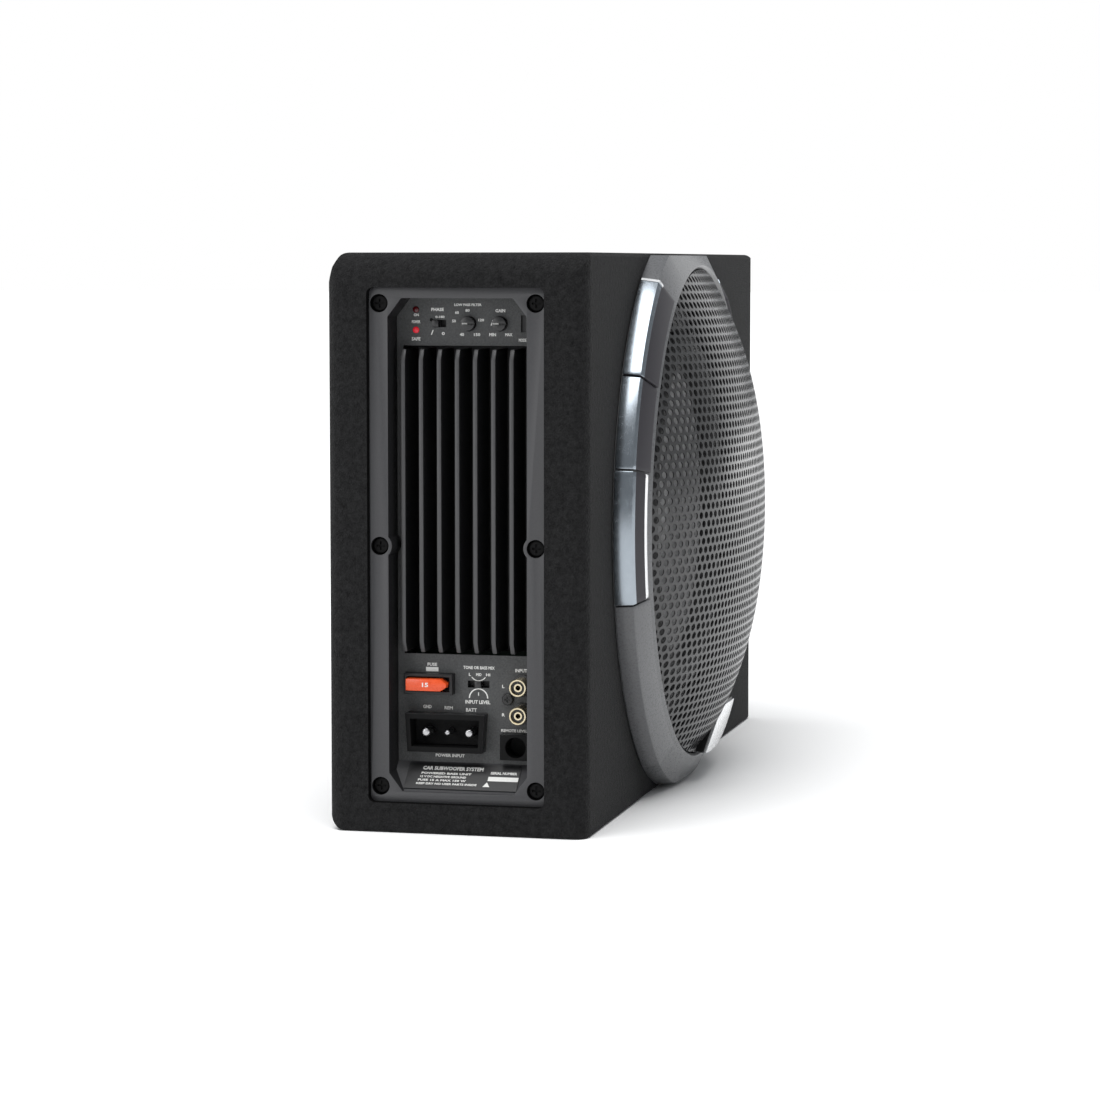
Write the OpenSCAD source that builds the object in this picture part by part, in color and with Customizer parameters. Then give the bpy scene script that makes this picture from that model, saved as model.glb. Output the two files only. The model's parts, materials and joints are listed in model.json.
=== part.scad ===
// Powered car subwoofer: a carpeted low-profile box with a domed steel grille over
// a 200 mm woofer, and a recessed amplifier panel in one end.
// Millimetres. X runs along the box (amplifier at -X), the grille faces -Y, Z is up.
// The origin is the bottom centre of the whole object.

/* [Enclosure] */
// Length of the box over its carpet
box_l = 432; // [400:1:520]
// Depth of the box over its carpet
box_w = 124; // [116:1:160]
// Height of the box over its carpet
box_h = 268; // [262:1:330]
// Thickness of the carpet
carpet_t = 2.5; // [1.5:0.5:4]
// Thickness of the boards
board_t = 16; // [12:1:18]
// Rounding of the upright edges
upright_r = 9; // [6:1:14]
// Rounding of the end edges at the top
top_end_r = 14; // [8:1:20]
// Rounding of the lower back edge
low_back_r = 10; // [6:1:14]
// Drop of the sloped upper back edge
slope_drop = 13; // [6:1:18]
// Depth of the sloped upper back edge
slope_in = 5; // [3:1:8]

/* [Ring and grille] */
// Place of the woofer's axis along the box, from the middle
driver_x = -23; // [-28:1:20]
// Drop of the woofer's axis from the top of the box
driver_drop = 130.5; // [124:0.5:150]
// Outer radius of the trim ring
ring_r = 140; // [136:1:142]
// Inner radius of the trim ring
ring_in_r = 122.9; // [120:0.1:126]
// Height of the ring's side wall
ring_wall_h = 8.6; // [6:0.1:10]
// Height of the ring's inner lip
ring_lip_h = 16.8; // [14:0.1:18]
// Inward lean of the ring's side wall
ring_lean = 1.4; // [0.5:0.1:3]
// Gap between the ring's flats and the top and bottom of the box
ring_flat_gap = 2; // [0.5:0.5:3]
// Thickness of the raised accents
accent_t = 1.8; // [1:0.1:3]
// Reach of the grille's dome in front of the box
dome_reach = 42.5; // [36:0.5:50]
// Fullness of the dome, where 2 is a paraboloid
dome_power = 2.7; // [2:0.1:3.5]
// Thickness of the grille's steel
grille_t = 1.2; // [0.8:0.1:2]
// Height of the blank badge plate's face
badge_h = 21.5; // [20:0.5:24]

/* [Woofer] */
// Outer radius of the woofer's basket
basket_r = 104; // [100:1:108]
// Radius of the woofer's cut-out
cutout_r = 92.5; // [88:0.5:96]
// Outer radius of the surround's roll
roll_out_r = 92; // [88:0.5:94]
// Width of the surround's roll
roll_w = 16; // [12:1:18]
// Outer radius of the voice coil's former
former_r = 25; // [20:0.5:28]
// Radius of the magnet
magnet_r = 62; // [55:1:68]
// Thickness of the magnet
magnet_t = 16; // [12:1:20]
// Travel of the cone each way
cone_travel = 6; // [4:1:7]

/* [Amplifier] */
// Width of the bezel
bezel_w = 83.6; // [80:0.1:90]
// Gap between the bezel and the top and bottom of the box
bezel_margin = 15; // [10:1:24]
// Depth of the bezel's face below the carpet
bezel_drop = 4; // [2:0.5:6]
// Thickness of the bezel's flange
bezel_t = 6; // [4:0.5:7]
// Width of the bezel's sides
bezel_side = 8.9; // [7:0.1:12]
// Depth of the panel below the bezel's face
well_d = 16; // [12:1:20]
// Radius of a bezel screw's recess
recess_r = 4.2; // [3.5:0.1:5]
// Number of heat sink fins
fins = 7; // [5:1:8]
// Spacing of the fins
fin_pitch = 8.6; // [7:0.1:8.6]
// Thickness of a fin
fin_t = 2.1; // [1.2:0.1:3]
// Radius of a control knob
knob_r = 3.2; // [2.5:0.1:4]
// Outer radius of a signal socket's shell
rca_r = 4.15; // [4:0.05:4.5]
// Spacing of the signal sockets
rca_pitch = 13.1; // [11:0.1:15]

/* [Hidden] */
$fn = 72;
hull_fn = 32;
eps = 0.1;           // reach of a cut past the face that it opens
seat = 0.05;         // gap between pieces that seat on or in each other
run = 0.05;          // radial running clearance
play = 0.4;          // gap beside a piece that slides
fabric_play = 1;     // room that the carpet leaves round what it meets

front_y = (dome_reach - box_w) / 2;
back_y = front_y + box_w;
mid_y = front_y + box_w / 2;
driver_z = box_h - driver_drop;
inner = carpet_t + board_t;

module along_x(d0, d1) { translate([d0, 0, 0]) rotate([90, 0, 90]) linear_extrude(d1 - d0) children(); }
module along_y(y0, y1) { translate([0, y1, 0]) rotate([90, 0, 0]) linear_extrude(y1 - y0) children(); }
module rod_x(d0, d1, r) { translate([d0, 0, 0]) rotate([0, 90, 0]) cylinder(h = d1 - d0, r = r); }
module block(low, high) { translate(low) cube(high - low); }
module on_driver() { translate([driver_x, front_y, driver_z]) rotate([90, 0, 0]) children(); }
module disc(h0, h1, r) { translate([0, 0, h0]) cylinder(h = h1 - h0, r = r); }
module tube(h0, h1, r_out, r_in) {
    difference() {
        disc(h0, h1, r_out);
        disc(h0 - eps, h1 + eps, r_in);
    }
}

// A round tube swept along a list of points, with its ends closed.
tube_sides = 10;
function unit(v) = v / norm(v);
function heading(p, i) = unit(p[min(i + 1, len(p) - 1)] - p[max(i - 1, 0)]);
function side_of(t) = unit(cross(t, abs(t.z) < 0.9 ? [0, 0, 1] : [1, 0, 0]));
module wire(p, r) {
    rings = [for (i = [0 : len(p) - 1])
        let (t = heading(p, i), u = side_of(t), v = cross(t, u))
        for (k = [0 : tube_sides - 1])
            p[i] + r * (cos(360 * k / tube_sides) * u + sin(360 * k / tube_sides) * v)];
    walls = [for (i = [0 : len(p) - 2], k = [0 : tube_sides - 1])
        let (a = i * tube_sides + k, b = i * tube_sides + (k + 1) % tube_sides)
        [a, a + tube_sides, b + tube_sides, b]];
    first = [for (k = [0 : tube_sides - 1]) k];
    last = [for (k = [tube_sides - 1 : -1 : 0]) (len(p) - 1) * tube_sides + k];
    polyhedron(points = rings, faces = concat(walls, [first, last]), convexity = 8);
}

// ---- Enclosure -----------------------------------------------------------------
low_front_r = 2;
high_front_r = 3;
slope_r = 3;
module side_outline(inset) {
    offset(delta = -inset) hull() {
        translate([front_y + low_front_r, low_front_r]) circle(low_front_r, $fn = hull_fn);
        translate([front_y + high_front_r, box_h - high_front_r]) circle(high_front_r, $fn = hull_fn);
        translate([back_y - low_back_r, low_back_r]) circle(low_back_r, $fn = hull_fn);
        translate([back_y - slope_r, box_h - slope_drop - slope_r]) circle(slope_r, $fn = hull_fn);
        translate([back_y - slope_in - slope_r, box_h - slope_r]) circle(slope_r, $fn = hull_fn);
    }
}
module plan_outline(inset) {
    offset(delta = -inset) hull()
        for (x = [-1, 1], y = [front_y + upright_r, back_y - upright_r])
            translate([x * (box_l / 2 - upright_r), y]) circle(upright_r, $fn = hull_fn);
}
module front_outline(inset) {
    offset(delta = -inset) hull()
        for (x = [-1, 1]) {
            translate([x * (box_l / 2 - top_end_r), box_h - top_end_r]) circle(top_end_r, $fn = hull_fn);
            translate([x * (box_l / 2 - low_front_r), low_front_r]) circle(low_front_r, $fn = hull_fn);
        }
}
module rounded_box(inset) {
    intersection() {
        along_x(-box_l / 2, box_l / 2) side_outline(inset);
        linear_extrude(box_h) plan_outline(inset);
        along_y(front_y, back_y) front_outline(inset);
    }
}
sole_margin = 12;
module sole(gap, z0) {
    block([-box_l / 2 + sole_margin + gap, front_y + sole_margin + gap, z0],
          [box_l / 2 - sole_margin - gap, back_y - sole_margin - gap, carpet_t - seat]);
}
tuck_t = 1.5;
// The carpet stops at the basket, and turns in round the amplifier's bezel.
module carpet_wrap() {
    color("#2b2b2e") difference() {
        union() {
            difference() {
                rounded_box(0);
                rounded_box(carpet_t - seat);
                sole(0, -eps);
                on_driver() disc(-carpet_t - eps, eps, basket_r + fabric_play);
            }
            at_amp() along_x(carpet_t / 2, flange_back) bezel_outline(tuck_t);
        }
        at_amp() along_x(-eps, flange_back + eps) bezel_outline(seat);
    }
}
module carpet_bottom() { color("#262629") sole(seat, 0); }

module boards(low, high) {
    intersection() {
        rounded_box(carpet_t);
        block(low, high);
    }
}
end_in = box_l / 2 - inner;
module board_top() {
    color("#b08d63") difference() {
        boards([-end_in + seat, front_y, box_h - inner], [end_in - seat, back_y, box_h]);
        amp_pocket();
    }
}
module board_bottom() {
    color("#b08d63") difference() {
        boards([-end_in + seat, front_y, 0], [end_in - seat, back_y, inner]);
        amp_pocket();
    }
}
module board_back() {
    color("#b08d63") boards([-end_in + seat, back_y - inner, inner + seat],
                            [end_in - seat, back_y, box_h - inner - seat]);
}
module board_baffle() {
    color("#a5835b") difference() {
        boards([-end_in + seat, front_y, inner + seat], [end_in - seat, front_y + inner, box_h - inner - seat]);
        on_driver() disc(-inner - eps, eps, cutout_r);
        on_driver() basket_screw_places() disc(-inner - eps, eps, basket_screw_r + seat);
    }
}
module board_far_end() {
    color("#b08d63") boards([end_in, front_y, 0], [box_l / 2, back_y, box_h]);
}
module board_amp_end() {
    color("#b08d63") difference() {
        boards([-box_l / 2, front_y, 0], [-end_in, back_y, box_h]);
        at_amp() {
            along_x(0, flange_back + gasket_t) bezel_outline(tuck_t + seat);
            along_x(0, inner + eps) well_outline(well_wall + play);
            bezel_screw_places() rod_x(0, inner + eps, bezel_screw_r + seat);
        }
        amp_pocket(panel_d);
    }
}

// ---- Woofer, in heights above the box's front face -------------------------------
gasket_t = 1;
board_face = -carpet_t;
flange_h0 = board_face + gasket_t;
flange_t = 3;
flange_h1 = flange_h0 + flange_t;
roll_in_r = roll_out_r - roll_w;
roll_mid_r = (roll_out_r + roll_in_r) / 2;
shell_t = 1;
basket_wall = 2;
basket_neck_r = 68;
plate_h1 = -46;
top_plate_t = 8;
magnet_h1 = plate_h1 - top_plate_t;
magnet_h0 = magnet_h1 - magnet_t;
yoke_t = 7;
former_t = 0.5;
winding_t = 1;
gap_play = 0.6;
pole_r = former_r - former_t - gap_play;
vent_r = 8;
basket_screw_r = 2;
basket_screw_ring = (basket_r + roll_out_r) / 2 + 1;
basket_screw_count = 8;
module basket_screw_places() {
    for (i = [0 : basket_screw_count - 1])
        rotate(360 * (i + 0.5) / basket_screw_count) translate([basket_screw_ring, 0, 0]) children();
}
module basket_gasket() {
    color("#1c1c1c") on_driver() difference() {
        tube(board_face + seat, flange_h0 - seat, basket_r - 1, cutout_r + 0.5);
        basket_screw_places() disc(board_face - eps, flange_h0 + eps, basket_screw_r + seat);
    }
}
spider_h = -30;
spider_seat_r = 60;
shelf_t = 2;
windows = 6;
window_w = 34;
window_h0 = plate_h1 + shelf_t + eps;
window_h1 = spider_h - 2 * shelf_t;
// Half section of the basket: flange, wall, spider shelf and the seat on the top plate.
module basket_section() {
    wall_r = cutout_r - 1;
    polygon([
        [wall_r - basket_wall, flange_h1], [basket_r, flange_h1], [basket_r, flange_h0],
        [wall_r, flange_h0], [wall_r, -inner - 1], [basket_neck_r, spider_h],
        [basket_neck_r, plate_h1], [former_r + 8, plate_h1], [former_r + 8, plate_h1 + shelf_t],
        [basket_neck_r - basket_wall, plate_h1 + shelf_t], [basket_neck_r - basket_wall, spider_h - shelf_t],
        [spider_seat_r, spider_h - shelf_t], [spider_seat_r, spider_h],
        [basket_neck_r - basket_wall, spider_h], [wall_r - basket_wall, -inner]
    ]);
}
module basket() {
    color("#3a3b3d") on_driver() difference() {
        rotate_extrude() basket_section();
        for (i = [0 : windows - 1])
            rotate(360 * i / windows) translate([0, -window_w / 2, window_h0])
                cube([cutout_r, window_w, window_h1 - window_h0]);
        for (i = [0 : windows - 1])
            rotate(360 * i / windows) translate([spider_seat_r + 3, -window_w / 2, spider_h + eps])
                cube([cutout_r, window_w, -inner - 1 - spider_h - 2 * eps]);
        basket_screw_places() disc(flange_h0 - eps, flange_h1 + eps, basket_screw_r + seat);
    }
}
screw_head_t = 2.5;
module basket_screws() {
    color("#202022") on_driver() basket_screw_places() {
        disc(-inner + 1, flange_h1 + seat, basket_screw_r);
        disc(flange_h1 + seat, flange_h1 + screw_head_t, 2 * basket_screw_r);
    }
}
lip_t = 0.8;
module surround() {
    color("#1a1a1b") on_driver() rotate_extrude() {
        translate([roll_mid_r, flange_h1 + lip_t]) difference() {
            circle(roll_w / 2);
            circle(roll_w / 2 - shell_t);
            translate([-roll_w, -2 * roll_w]) square(2 * roll_w);
        }
        translate([roll_out_r - shell_t, flange_h1 + seat]) square([4, lip_t]);
        translate([roll_in_r - 4, flange_h1 + seat]) square([4 + shell_t, lip_t]);
    }
}
cone_top = flange_h1;
cone_neck_h = -24;
cap_r = 36;
cap_rise = 14;
function cone_h(r) = cone_neck_h + (cone_top - cone_neck_h) * (r - former_r) / (roll_in_r - former_r);
module cone() {
    color("#5a5b5e") on_driver() rotate_extrude() polygon([
        [roll_in_r + shell_t, cone_top - seat], [roll_in_r - 5, cone_top - seat],
        [former_r + seat, cone_neck_h], [former_r + seat, cone_neck_h - 2 * shell_t],
        [roll_in_r - 4, cone_top - 2 * shell_t], [roll_in_r + shell_t, cone_top - 2 * shell_t]
    ]);
}
cap_steps = 12;
module dust_cap() {
    base = cone_h(cap_r) + 2 * shell_t;
    outer = [for (i = [0 : cap_steps]) [cap_r * cos(90 * i / cap_steps), base + cap_rise * sin(90 * i / cap_steps)]];
    inside = [for (i = [cap_steps : -1 : 0])
        [(cap_r - shell_t) * cos(90 * i / cap_steps), base + (cap_rise - shell_t) * sin(90 * i / cap_steps)]];
    color("#4a4b4e") on_driver() rotate_extrude() polygon(concat(outer, inside));
}
module coil_former() {
    color("#b98a4a") on_driver() tube(plate_h1 - top_plate_t - 3, cone_neck_h + 1, former_r, former_r - former_t);
}
module coil_winding() {
    color("#b5602c") on_driver()
        tube(plate_h1 - top_plate_t - 2, plate_h1 + 2, former_r + winding_t, former_r + seat);
}
folds = 3;
module spider() {
    start = former_r + seat;
    pitch = (spider_seat_r + 4 - start) / (2 * folds + 1);
    zig = [for (i = [0 : 2 * folds + 1]) [start + i * pitch, spider_h + (i % 2 == 0 ? seat : 2.5)]];
    top = [for (i = [2 * folds + 1 : -1 : 0]) zig[i] + [0, lip_t]];
    color("#c9a24a") on_driver() rotate_extrude() polygon(concat(zig, top));
}
module top_plate() {
    color("#8b8d90") on_driver()
        tube(magnet_h1 + seat, plate_h1 - seat, magnet_r - 2, former_r + winding_t + gap_play);
}
module magnet() { color("#2a2a2c") on_driver() tube(magnet_h0 + seat, magnet_h1, magnet_r, pole_r + 10); }
module yoke() {
    color("#8b8d90") on_driver() difference() {
        union() {
            disc(magnet_h0 - yoke_t, magnet_h0, magnet_r - 2);
            disc(magnet_h0 - seat, plate_h1 + 1, pole_r);
        }
        disc(magnet_h0 - yoke_t - eps, plate_h1 + 1 + eps, vent_r);
    }
}
terminal_turn = 180;
terminal_w = window_w - 2 * seat;
terminal_h0 = window_h0 + seat;
terminal_h1 = window_h1 - seat;
terminal_r = basket_neck_r - basket_wall;
terminal_t = 2;
lug_gap = 14;
lug_t = 0.8;
lug_l = 7;
lug_h = terminal_h1 - 2;
module terminal_board() {
    color("#6b4a2c") on_driver() rotate(terminal_turn)
        block([terminal_r, -terminal_w / 2, terminal_h0], [terminal_r + terminal_t, terminal_w / 2, terminal_h1]);
}
module terminal_lugs() {
    lug_r = terminal_r + terminal_t + seat;
    color("#c9a44c") on_driver() rotate(terminal_turn) for (side = [-1, 1])
        block([lug_r, side * lug_gap / 2 - 2, lug_h], [lug_r + lug_l, side * lug_gap / 2 + 2, lug_h + lug_t]);
}
lead_r = 0.7;
// Each lead rises from its lug, over the spider's shelf, and ends at the coil former.
module tinsel_leads() {
    lift = lug_h + lug_t + lead_r;
    color("#b9763a") on_driver() rotate(terminal_turn) for (side = [-1, 1])
        wire([[basket_neck_r + 4, side * lug_gap / 2, lift], [basket_neck_r + 3.5, side * 7, spider_h + 1],
              [basket_neck_r - 2, side * 7, spider_h + 4], [basket_neck_r - 13, side * 6.5, spider_h + 8],
              [basket_neck_r - 26, side * 6, spider_h + 6.5], [former_r + 7, side * 5, spider_h + 5.2],
              [former_r + 1.2, side * 4, spider_h + 4]], lead_r);
}

// ---- Trim ring, grille and badge -------------------------------------------------
ring_crest_r = ring_r - ring_lean;
function face_h(r) = ring_wall_h + (ring_lip_h - ring_wall_h) * (ring_crest_r - r) / (ring_crest_r - ring_in_r);
lip_w = 1.6;
module box_flats() {
    on_driver() translate([-box_l / 2, ring_flat_gap - driver_z, -1])
        cube([box_l, box_h - 1.5 * ring_flat_gap, dome_reach]);
}
module trim_ring() {
    color("#5c5e62") intersection() {
        on_driver() rotate_extrude() polygon([
            [ring_in_r, seat], [ring_r, seat], [ring_crest_r, ring_wall_h],
            [ring_in_r + lip_w, face_h(ring_in_r + lip_w)], [ring_in_r, ring_lip_h - lip_w]
        ]);
        box_flats();
    }
}
// Four accents each side, as [first, last] angle about the woofer's axis.
accent_spans = [[123.6, 148.8], [149.2, 167.9], [168.3, 194.3], [194.7, 239]];
accent_in_r = ring_in_r + 5;
accent_lift = [1.3, 1.0, 1.15, 0.85];
module accent_section(lift) {
    t = accent_t * lift;
    polygon([
        [ring_r + seat, 1], [ring_r + t, 1], [ring_crest_r + t, ring_wall_h + t / 2], [ring_crest_r, ring_wall_h + t],
        [accent_in_r + 1, face_h(accent_in_r + 1) + t], [accent_in_r, face_h(accent_in_r) + seat],
        [ring_crest_r + seat, ring_wall_h + seat]
    ]);
}
module accents_side(mirrored) {
    mirror([mirrored, 0, 0]) for (i = [0 : len(accent_spans) - 1])
        rotate(accent_spans[i][0]) rotate_extrude(angle = accent_spans[i][1] - accent_spans[i][0])
            accent_section(accent_lift[i]);
}
module accents(mirrored) {
    color("#8d97a0") intersection() {
        on_driver() accents_side(mirrored);
        box_flats();
    }
}
module accents_near() { accents(0); }
module accents_far() { accents(1); }
dome_r = ring_in_r - 0.5;
dome_edge_h = ring_lip_h - 1.3;
skirt_h = 1;
foot_w = 8;
dome_steps = 20;
function dome_h(r) = dome_edge_h + (dome_reach - dome_edge_h) * (1 - pow(r / dome_r, dome_power));
module grille() {
    outer = [for (i = [0 : dome_steps]) let (r = dome_r * i / dome_steps) [r, dome_h(r)]];
    inside = [for (i = [dome_steps : -1 : 0])
        let (r = (dome_r - grille_t) * i / dome_steps) [r, dome_h(r * dome_r / (dome_r - grille_t)) - grille_t]];
    color("#4b4c4e") on_driver() difference() {
        rotate_extrude() polygon(concat(outer, [
            [dome_r, skirt_h], [dome_r - foot_w, skirt_h],
            [dome_r - foot_w, skirt_h + grille_t], [dome_r - grille_t, skirt_h + grille_t]
        ], inside));
        badge_body(badge_back - seat, dome_reach, badge_gap);
    }
}
badge_out_r = ring_in_r - seat;
badge_top = 19 - ring_in_r;
badge_from = [-17, -ring_in_r];
badge_to_x = 30;
badge_gap = 0.4;
// Outline of the badge, seen from the front: a flat top, a sloped near edge and a
// lower edge that follows the ring.
module badge_outline(gap) {
    offset(delta = gap) intersection() {
        circle(badge_out_r);
        polygon([badge_from, [badge_to_x, badge_top], [badge_out_r, badge_top],
                 [badge_out_r, -badge_out_r], [badge_from.x, -badge_out_r]]);
    }
}
module badge_body(h0, h1, gap) { translate([0, 0, h0]) linear_extrude(h1 - h0) badge_outline(gap); }
badge_back = ring_lip_h + 0.3;
module badge_plate() { color("#e6e7e8") on_driver() badge_body(badge_back, badge_h, 0); }

// ---- Amplifier, in depths below the carpet at the amplifier's end -----------------
module at_amp() { translate([-box_l / 2, mid_y, 0]) children(); }
flange_back = bezel_drop + bezel_t;
panel_d = bezel_drop + well_d;
bezel_h = box_h - 2 * bezel_margin;
bezel_z = box_h / 2 - 1;
well_wall = 1;
well_half_w = bezel_w / 2 - bezel_side;
well_half_h = bezel_h / 2 - 4.9;
corner_r = 3;
screw_y = bezel_w / 2 - recess_r - 0.6;
screw_z = bezel_h / 2 - 7.2;
bezel_screw_r = 1.6;
module bezel_screw_places() {
    for (y = [-1, 1], z = [-1, 0, 1])
        translate([0, y * screw_y, bezel_z + z * screw_z]) children();
}
module bezel_outline(gap) {
    translate([0, bezel_z]) offset(delta = gap) hull()
        for (y = [-1, 1], z = [-1, 1])
            translate([y * (bezel_w / 2 - corner_r), z * (bezel_h / 2 - corner_r)])
                circle(corner_r, $fn = hull_fn);
}
chamfer_y = 6.5;
chamfer_z = 8.5;
lobe_r = recess_r + 1.6;
// The well's opening: a tall rectangle with its corners cut off and two side lobes.
module well_outline(gap) {
    w = well_half_w;
    h = well_half_h;
    translate([0, bezel_z]) offset(delta = gap) difference() {
        polygon([
            [-w, chamfer_z - h], [chamfer_y - w, -h], [w - chamfer_y, -h], [w, chamfer_z - h],
            [w, h - chamfer_z], [w - chamfer_y, h], [chamfer_y - w, h], [-w, h - chamfer_z]
        ]);
        for (y = [-1, 1]) translate([y * screw_y, 0]) circle(lobe_r, $fn = hull_fn);
    }
}
recess_d = 4.2;
well_low = bezel_z - well_half_h;
well_top = bezel_z + well_half_h;
ramp_rise = 12;
module amp_bezel() {
    color("#4f5052") at_amp() {
        difference() {
            union() {
                along_x(bezel_drop, flange_back) bezel_outline(0);
                along_x(flange_back - eps, panel_d) well_outline(well_wall);
            }
            along_x(bezel_drop - eps, panel_d + eps) well_outline(0);
            bezel_screw_places() {
                rod_x(bezel_drop - eps, bezel_drop + recess_d, recess_r);
                rod_x(bezel_drop, flange_back + eps, bezel_screw_r + seat);
            }
        }
        intersection() {
            along_x(bezel_drop + 2, panel_d) well_outline(eps);
            along_y(-well_half_w - eps, well_half_w + eps)
                polygon([[bezel_drop + 2, well_low - eps], [panel_d, well_low - eps], [panel_d, well_low + ramp_rise]]);
        }
    }
}
module amp_gasket() {
    color("#161616") at_amp() difference() {
        along_x(flange_back + seat, flange_back + gasket_t - seat) bezel_outline(-0.5);
        along_x(flange_back, flange_back + gasket_t) well_outline(well_wall + play);
        bezel_screw_places() rod_x(flange_back, flange_back + gasket_t, bezel_screw_r + seat);
    }
}
head_t = 2.4;
module bezel_screws() {
    color("#1b1b1c") at_amp() bezel_screw_places() {
        rod_x(bezel_drop + recess_d - head_t, bezel_drop + recess_d - seat, recess_r - 0.6);
        rod_x(bezel_drop + recess_d - 1, inner - 2, bezel_screw_r);
    }
}
label_in = 6;
label_edge = 1.5;
module rating_plate() {
    run_in = panel_d - bezel_drop - 2;
    color("#151515") at_amp()
        translate([bezel_drop + 2, 0, well_low]) rotate([0, -atan2(ramp_rise, run_in), 0])
            block([label_edge, label_in - well_half_w, seat],
                  [norm([run_in, ramp_rise]) - label_edge, well_half_w - label_in, 0.5]);
}
plate_t = 1.2;
sink_z0 = well_low + 62.7;
sink_z1 = well_top - 22;
strip_w = 3;
// Places on the panel, as [across, up] from the middle of the box's depth and its foot.
control_z = well_top - 11.8;
input_z = well_low + 49;
led_at = [23.8, control_z - 3];
phase_at = [12.6, control_z];
frequency_at = [-1.5, control_z];
gain_at = [-16.4, control_z];
slot_at = [-27.4, control_z];
fuse_at = [17.3, input_z];
level_at = [-5.8, input_z];
rca_at = [-26.9, input_z];
screw_at = [-20, input_z - rca_pitch / 2];
remote_at = [-24.7, well_low + 20.5];
power_at = [8.7, well_low + 26.5];
module at_panel(place) { at_amp() translate([0, place[0], place[1]]) children(); }
led_gap = 9.4;
led_r = 1.5;
phase_slot = [6.6, 3.4];
level_slot = [10.5, 3.3];
mode_slot = [2.3, 7.8];
fuse_body = [19.6, 5.6];
holder_size = [23.5, 9.7];
power_size = [38, 18];
power_cavity = [33.6, 13];
remote_size = [15, 12];
remote_hole_r = 4.9;
rca_base = [10.5, 25.6];
module window(size, gap) {
    translate([panel_d - eps, -size[0] / 2 - gap, -size[1] / 2 - gap])
        cube([plate_t + 2 * eps, size[0] + 2 * gap, size[1] + 2 * gap]);
}
module control_plate() {
    color("#4a4a4c") difference() {
        at_amp() difference() {
            along_x(panel_d + seat, panel_d + plate_t) well_outline(well_wall - seat);
            along_x(panel_d - eps, panel_d + plate_t + eps)
                polygon([[strip_w - well_half_w, sink_z0], [well_half_w - strip_w, sink_z0],
                         [well_half_w - strip_w, sink_z1], [strip_w - well_half_w, sink_z1]]);
        }
        at_panel(led_at) for (z = [0, led_gap]) translate([0, 0, z]) rod_x(panel_d, panel_d + 2 * plate_t, led_r + seat);
        at_panel(phase_at) window(phase_slot, 0);
        at_panel(level_at) window(level_slot, 0);
        at_panel(slot_at) window(mode_slot, 0);
        for (place = [frequency_at, gain_at]) at_panel(place) rod_x(panel_d, panel_d + 2 * plate_t, knob_r + play);
        at_panel(fuse_at) window(holder_size, seat);
        at_panel(power_at) window(power_size - [2, 2], seat);
        at_panel(remote_at) window(remote_size, seat);
        at_panel(rca_at) for (z = [0, -rca_pitch]) translate([0, 0, z])
            rod_x(panel_d, panel_d + 2 * plate_t, rca_r + 1 + seat);
        at_panel(screw_at) rod_x(panel_d, panel_d + 2 * plate_t, plate_screw_r + seat);
    }
}
plate_screw_r = 1.5;
module plate_screw() {
    color("#8f9092") at_panel(screw_at) {
        rod_x(panel_d - 1.8, panel_d, 2 * plate_screw_r - 0.3);
        rod_x(panel_d - 1, panel_d + 6, plate_screw_r);
    }
}
fin_tip = bezel_drop + 7;
sink_face = panel_d + 14;
sink_base_t = 6;
fin_cut = 5;
fin_end = 1.5;
sink_y = 1.9;
module heat_sink() {
    span = (fins - 1) * fin_pitch;
    z0 = sink_z0 + fin_end;
    z1 = sink_z1 - fin_end;
    color("#1d1e20") at_amp() {
        for (i = [0 : fins - 1])
            let (y = sink_y - span / 2 + i * fin_pitch)
                along_y(y - fin_t / 2, y + fin_t / 2) polygon([
                    [sink_face + 1, z0], [fin_tip + fin_cut / 2, z0], [fin_tip, z0 + fin_cut], [fin_tip, z1 - fin_cut],
                    [fin_tip + fin_cut / 2, z1], [sink_face + 1, z1]
                ]);
        block([sink_face, sink_y - span / 2 - 4, z0 - 1], [sink_face + sink_base_t, sink_y + span / 2 + 4, z1 + 1]);
    }
}
pcb_t = 1.6;
pcb_half_w = well_half_w - 1.4;
control_pcb = panel_d + 10;
input_pcb = panel_d + 16;
main_pcb = sink_face + sink_base_t + 6;
cover_end = main_pcb + 26;
cover_half_w = well_half_w + well_wall;
cover_t = 1.2;
// Room, from a depth inwards, for the panel and its cover in the boards round them.
module amp_pocket(d0 = 0) {
    w = cover_half_w + play;
    h = well_half_h + well_wall + play;
    at_amp() translate([0, 0, bezel_z]) block([d0, -w, -h], [cover_end + play, w, h]);
}
module amp_cover() {
    color("#6a6c6f") at_amp() translate([0, 0, bezel_z]) difference() {
        block([panel_d + plate_t + seat, -cover_half_w, -well_half_h - well_wall],
              [cover_end, cover_half_w, well_half_h + well_wall]);
        block([panel_d, cover_t - cover_half_w, cover_t - well_half_h - well_wall],
              [cover_end - cover_t, cover_half_w - cover_t, well_half_h + well_wall - cover_t]);
    }
}
module control_board() {
    color("#1f5a36") at_amp() block([control_pcb, -pcb_half_w, sink_z1 + 2], [control_pcb + pcb_t, pcb_half_w, well_top - 1]);
}
module input_board() {
    color("#1f5a36") at_amp() block([input_pcb, -pcb_half_w, well_low + 13], [input_pcb + pcb_t, pcb_half_w, sink_z0 - 2]);
}
module main_board() {
    color("#1f5a36") at_amp() block([main_pcb, -pcb_half_w, well_low + 17], [main_pcb + pcb_t, pcb_half_w, sink_z1 + 18]);
}
module power_transistors() {
    color("#18181a") at_amp() for (side = [-1, 1], z = [0 : 2])
        translate([sink_face + sink_base_t + seat, sink_y + side * 18 - 8, 100 + 40 * z]) cube([4.5, 16, 20]);
}
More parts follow.
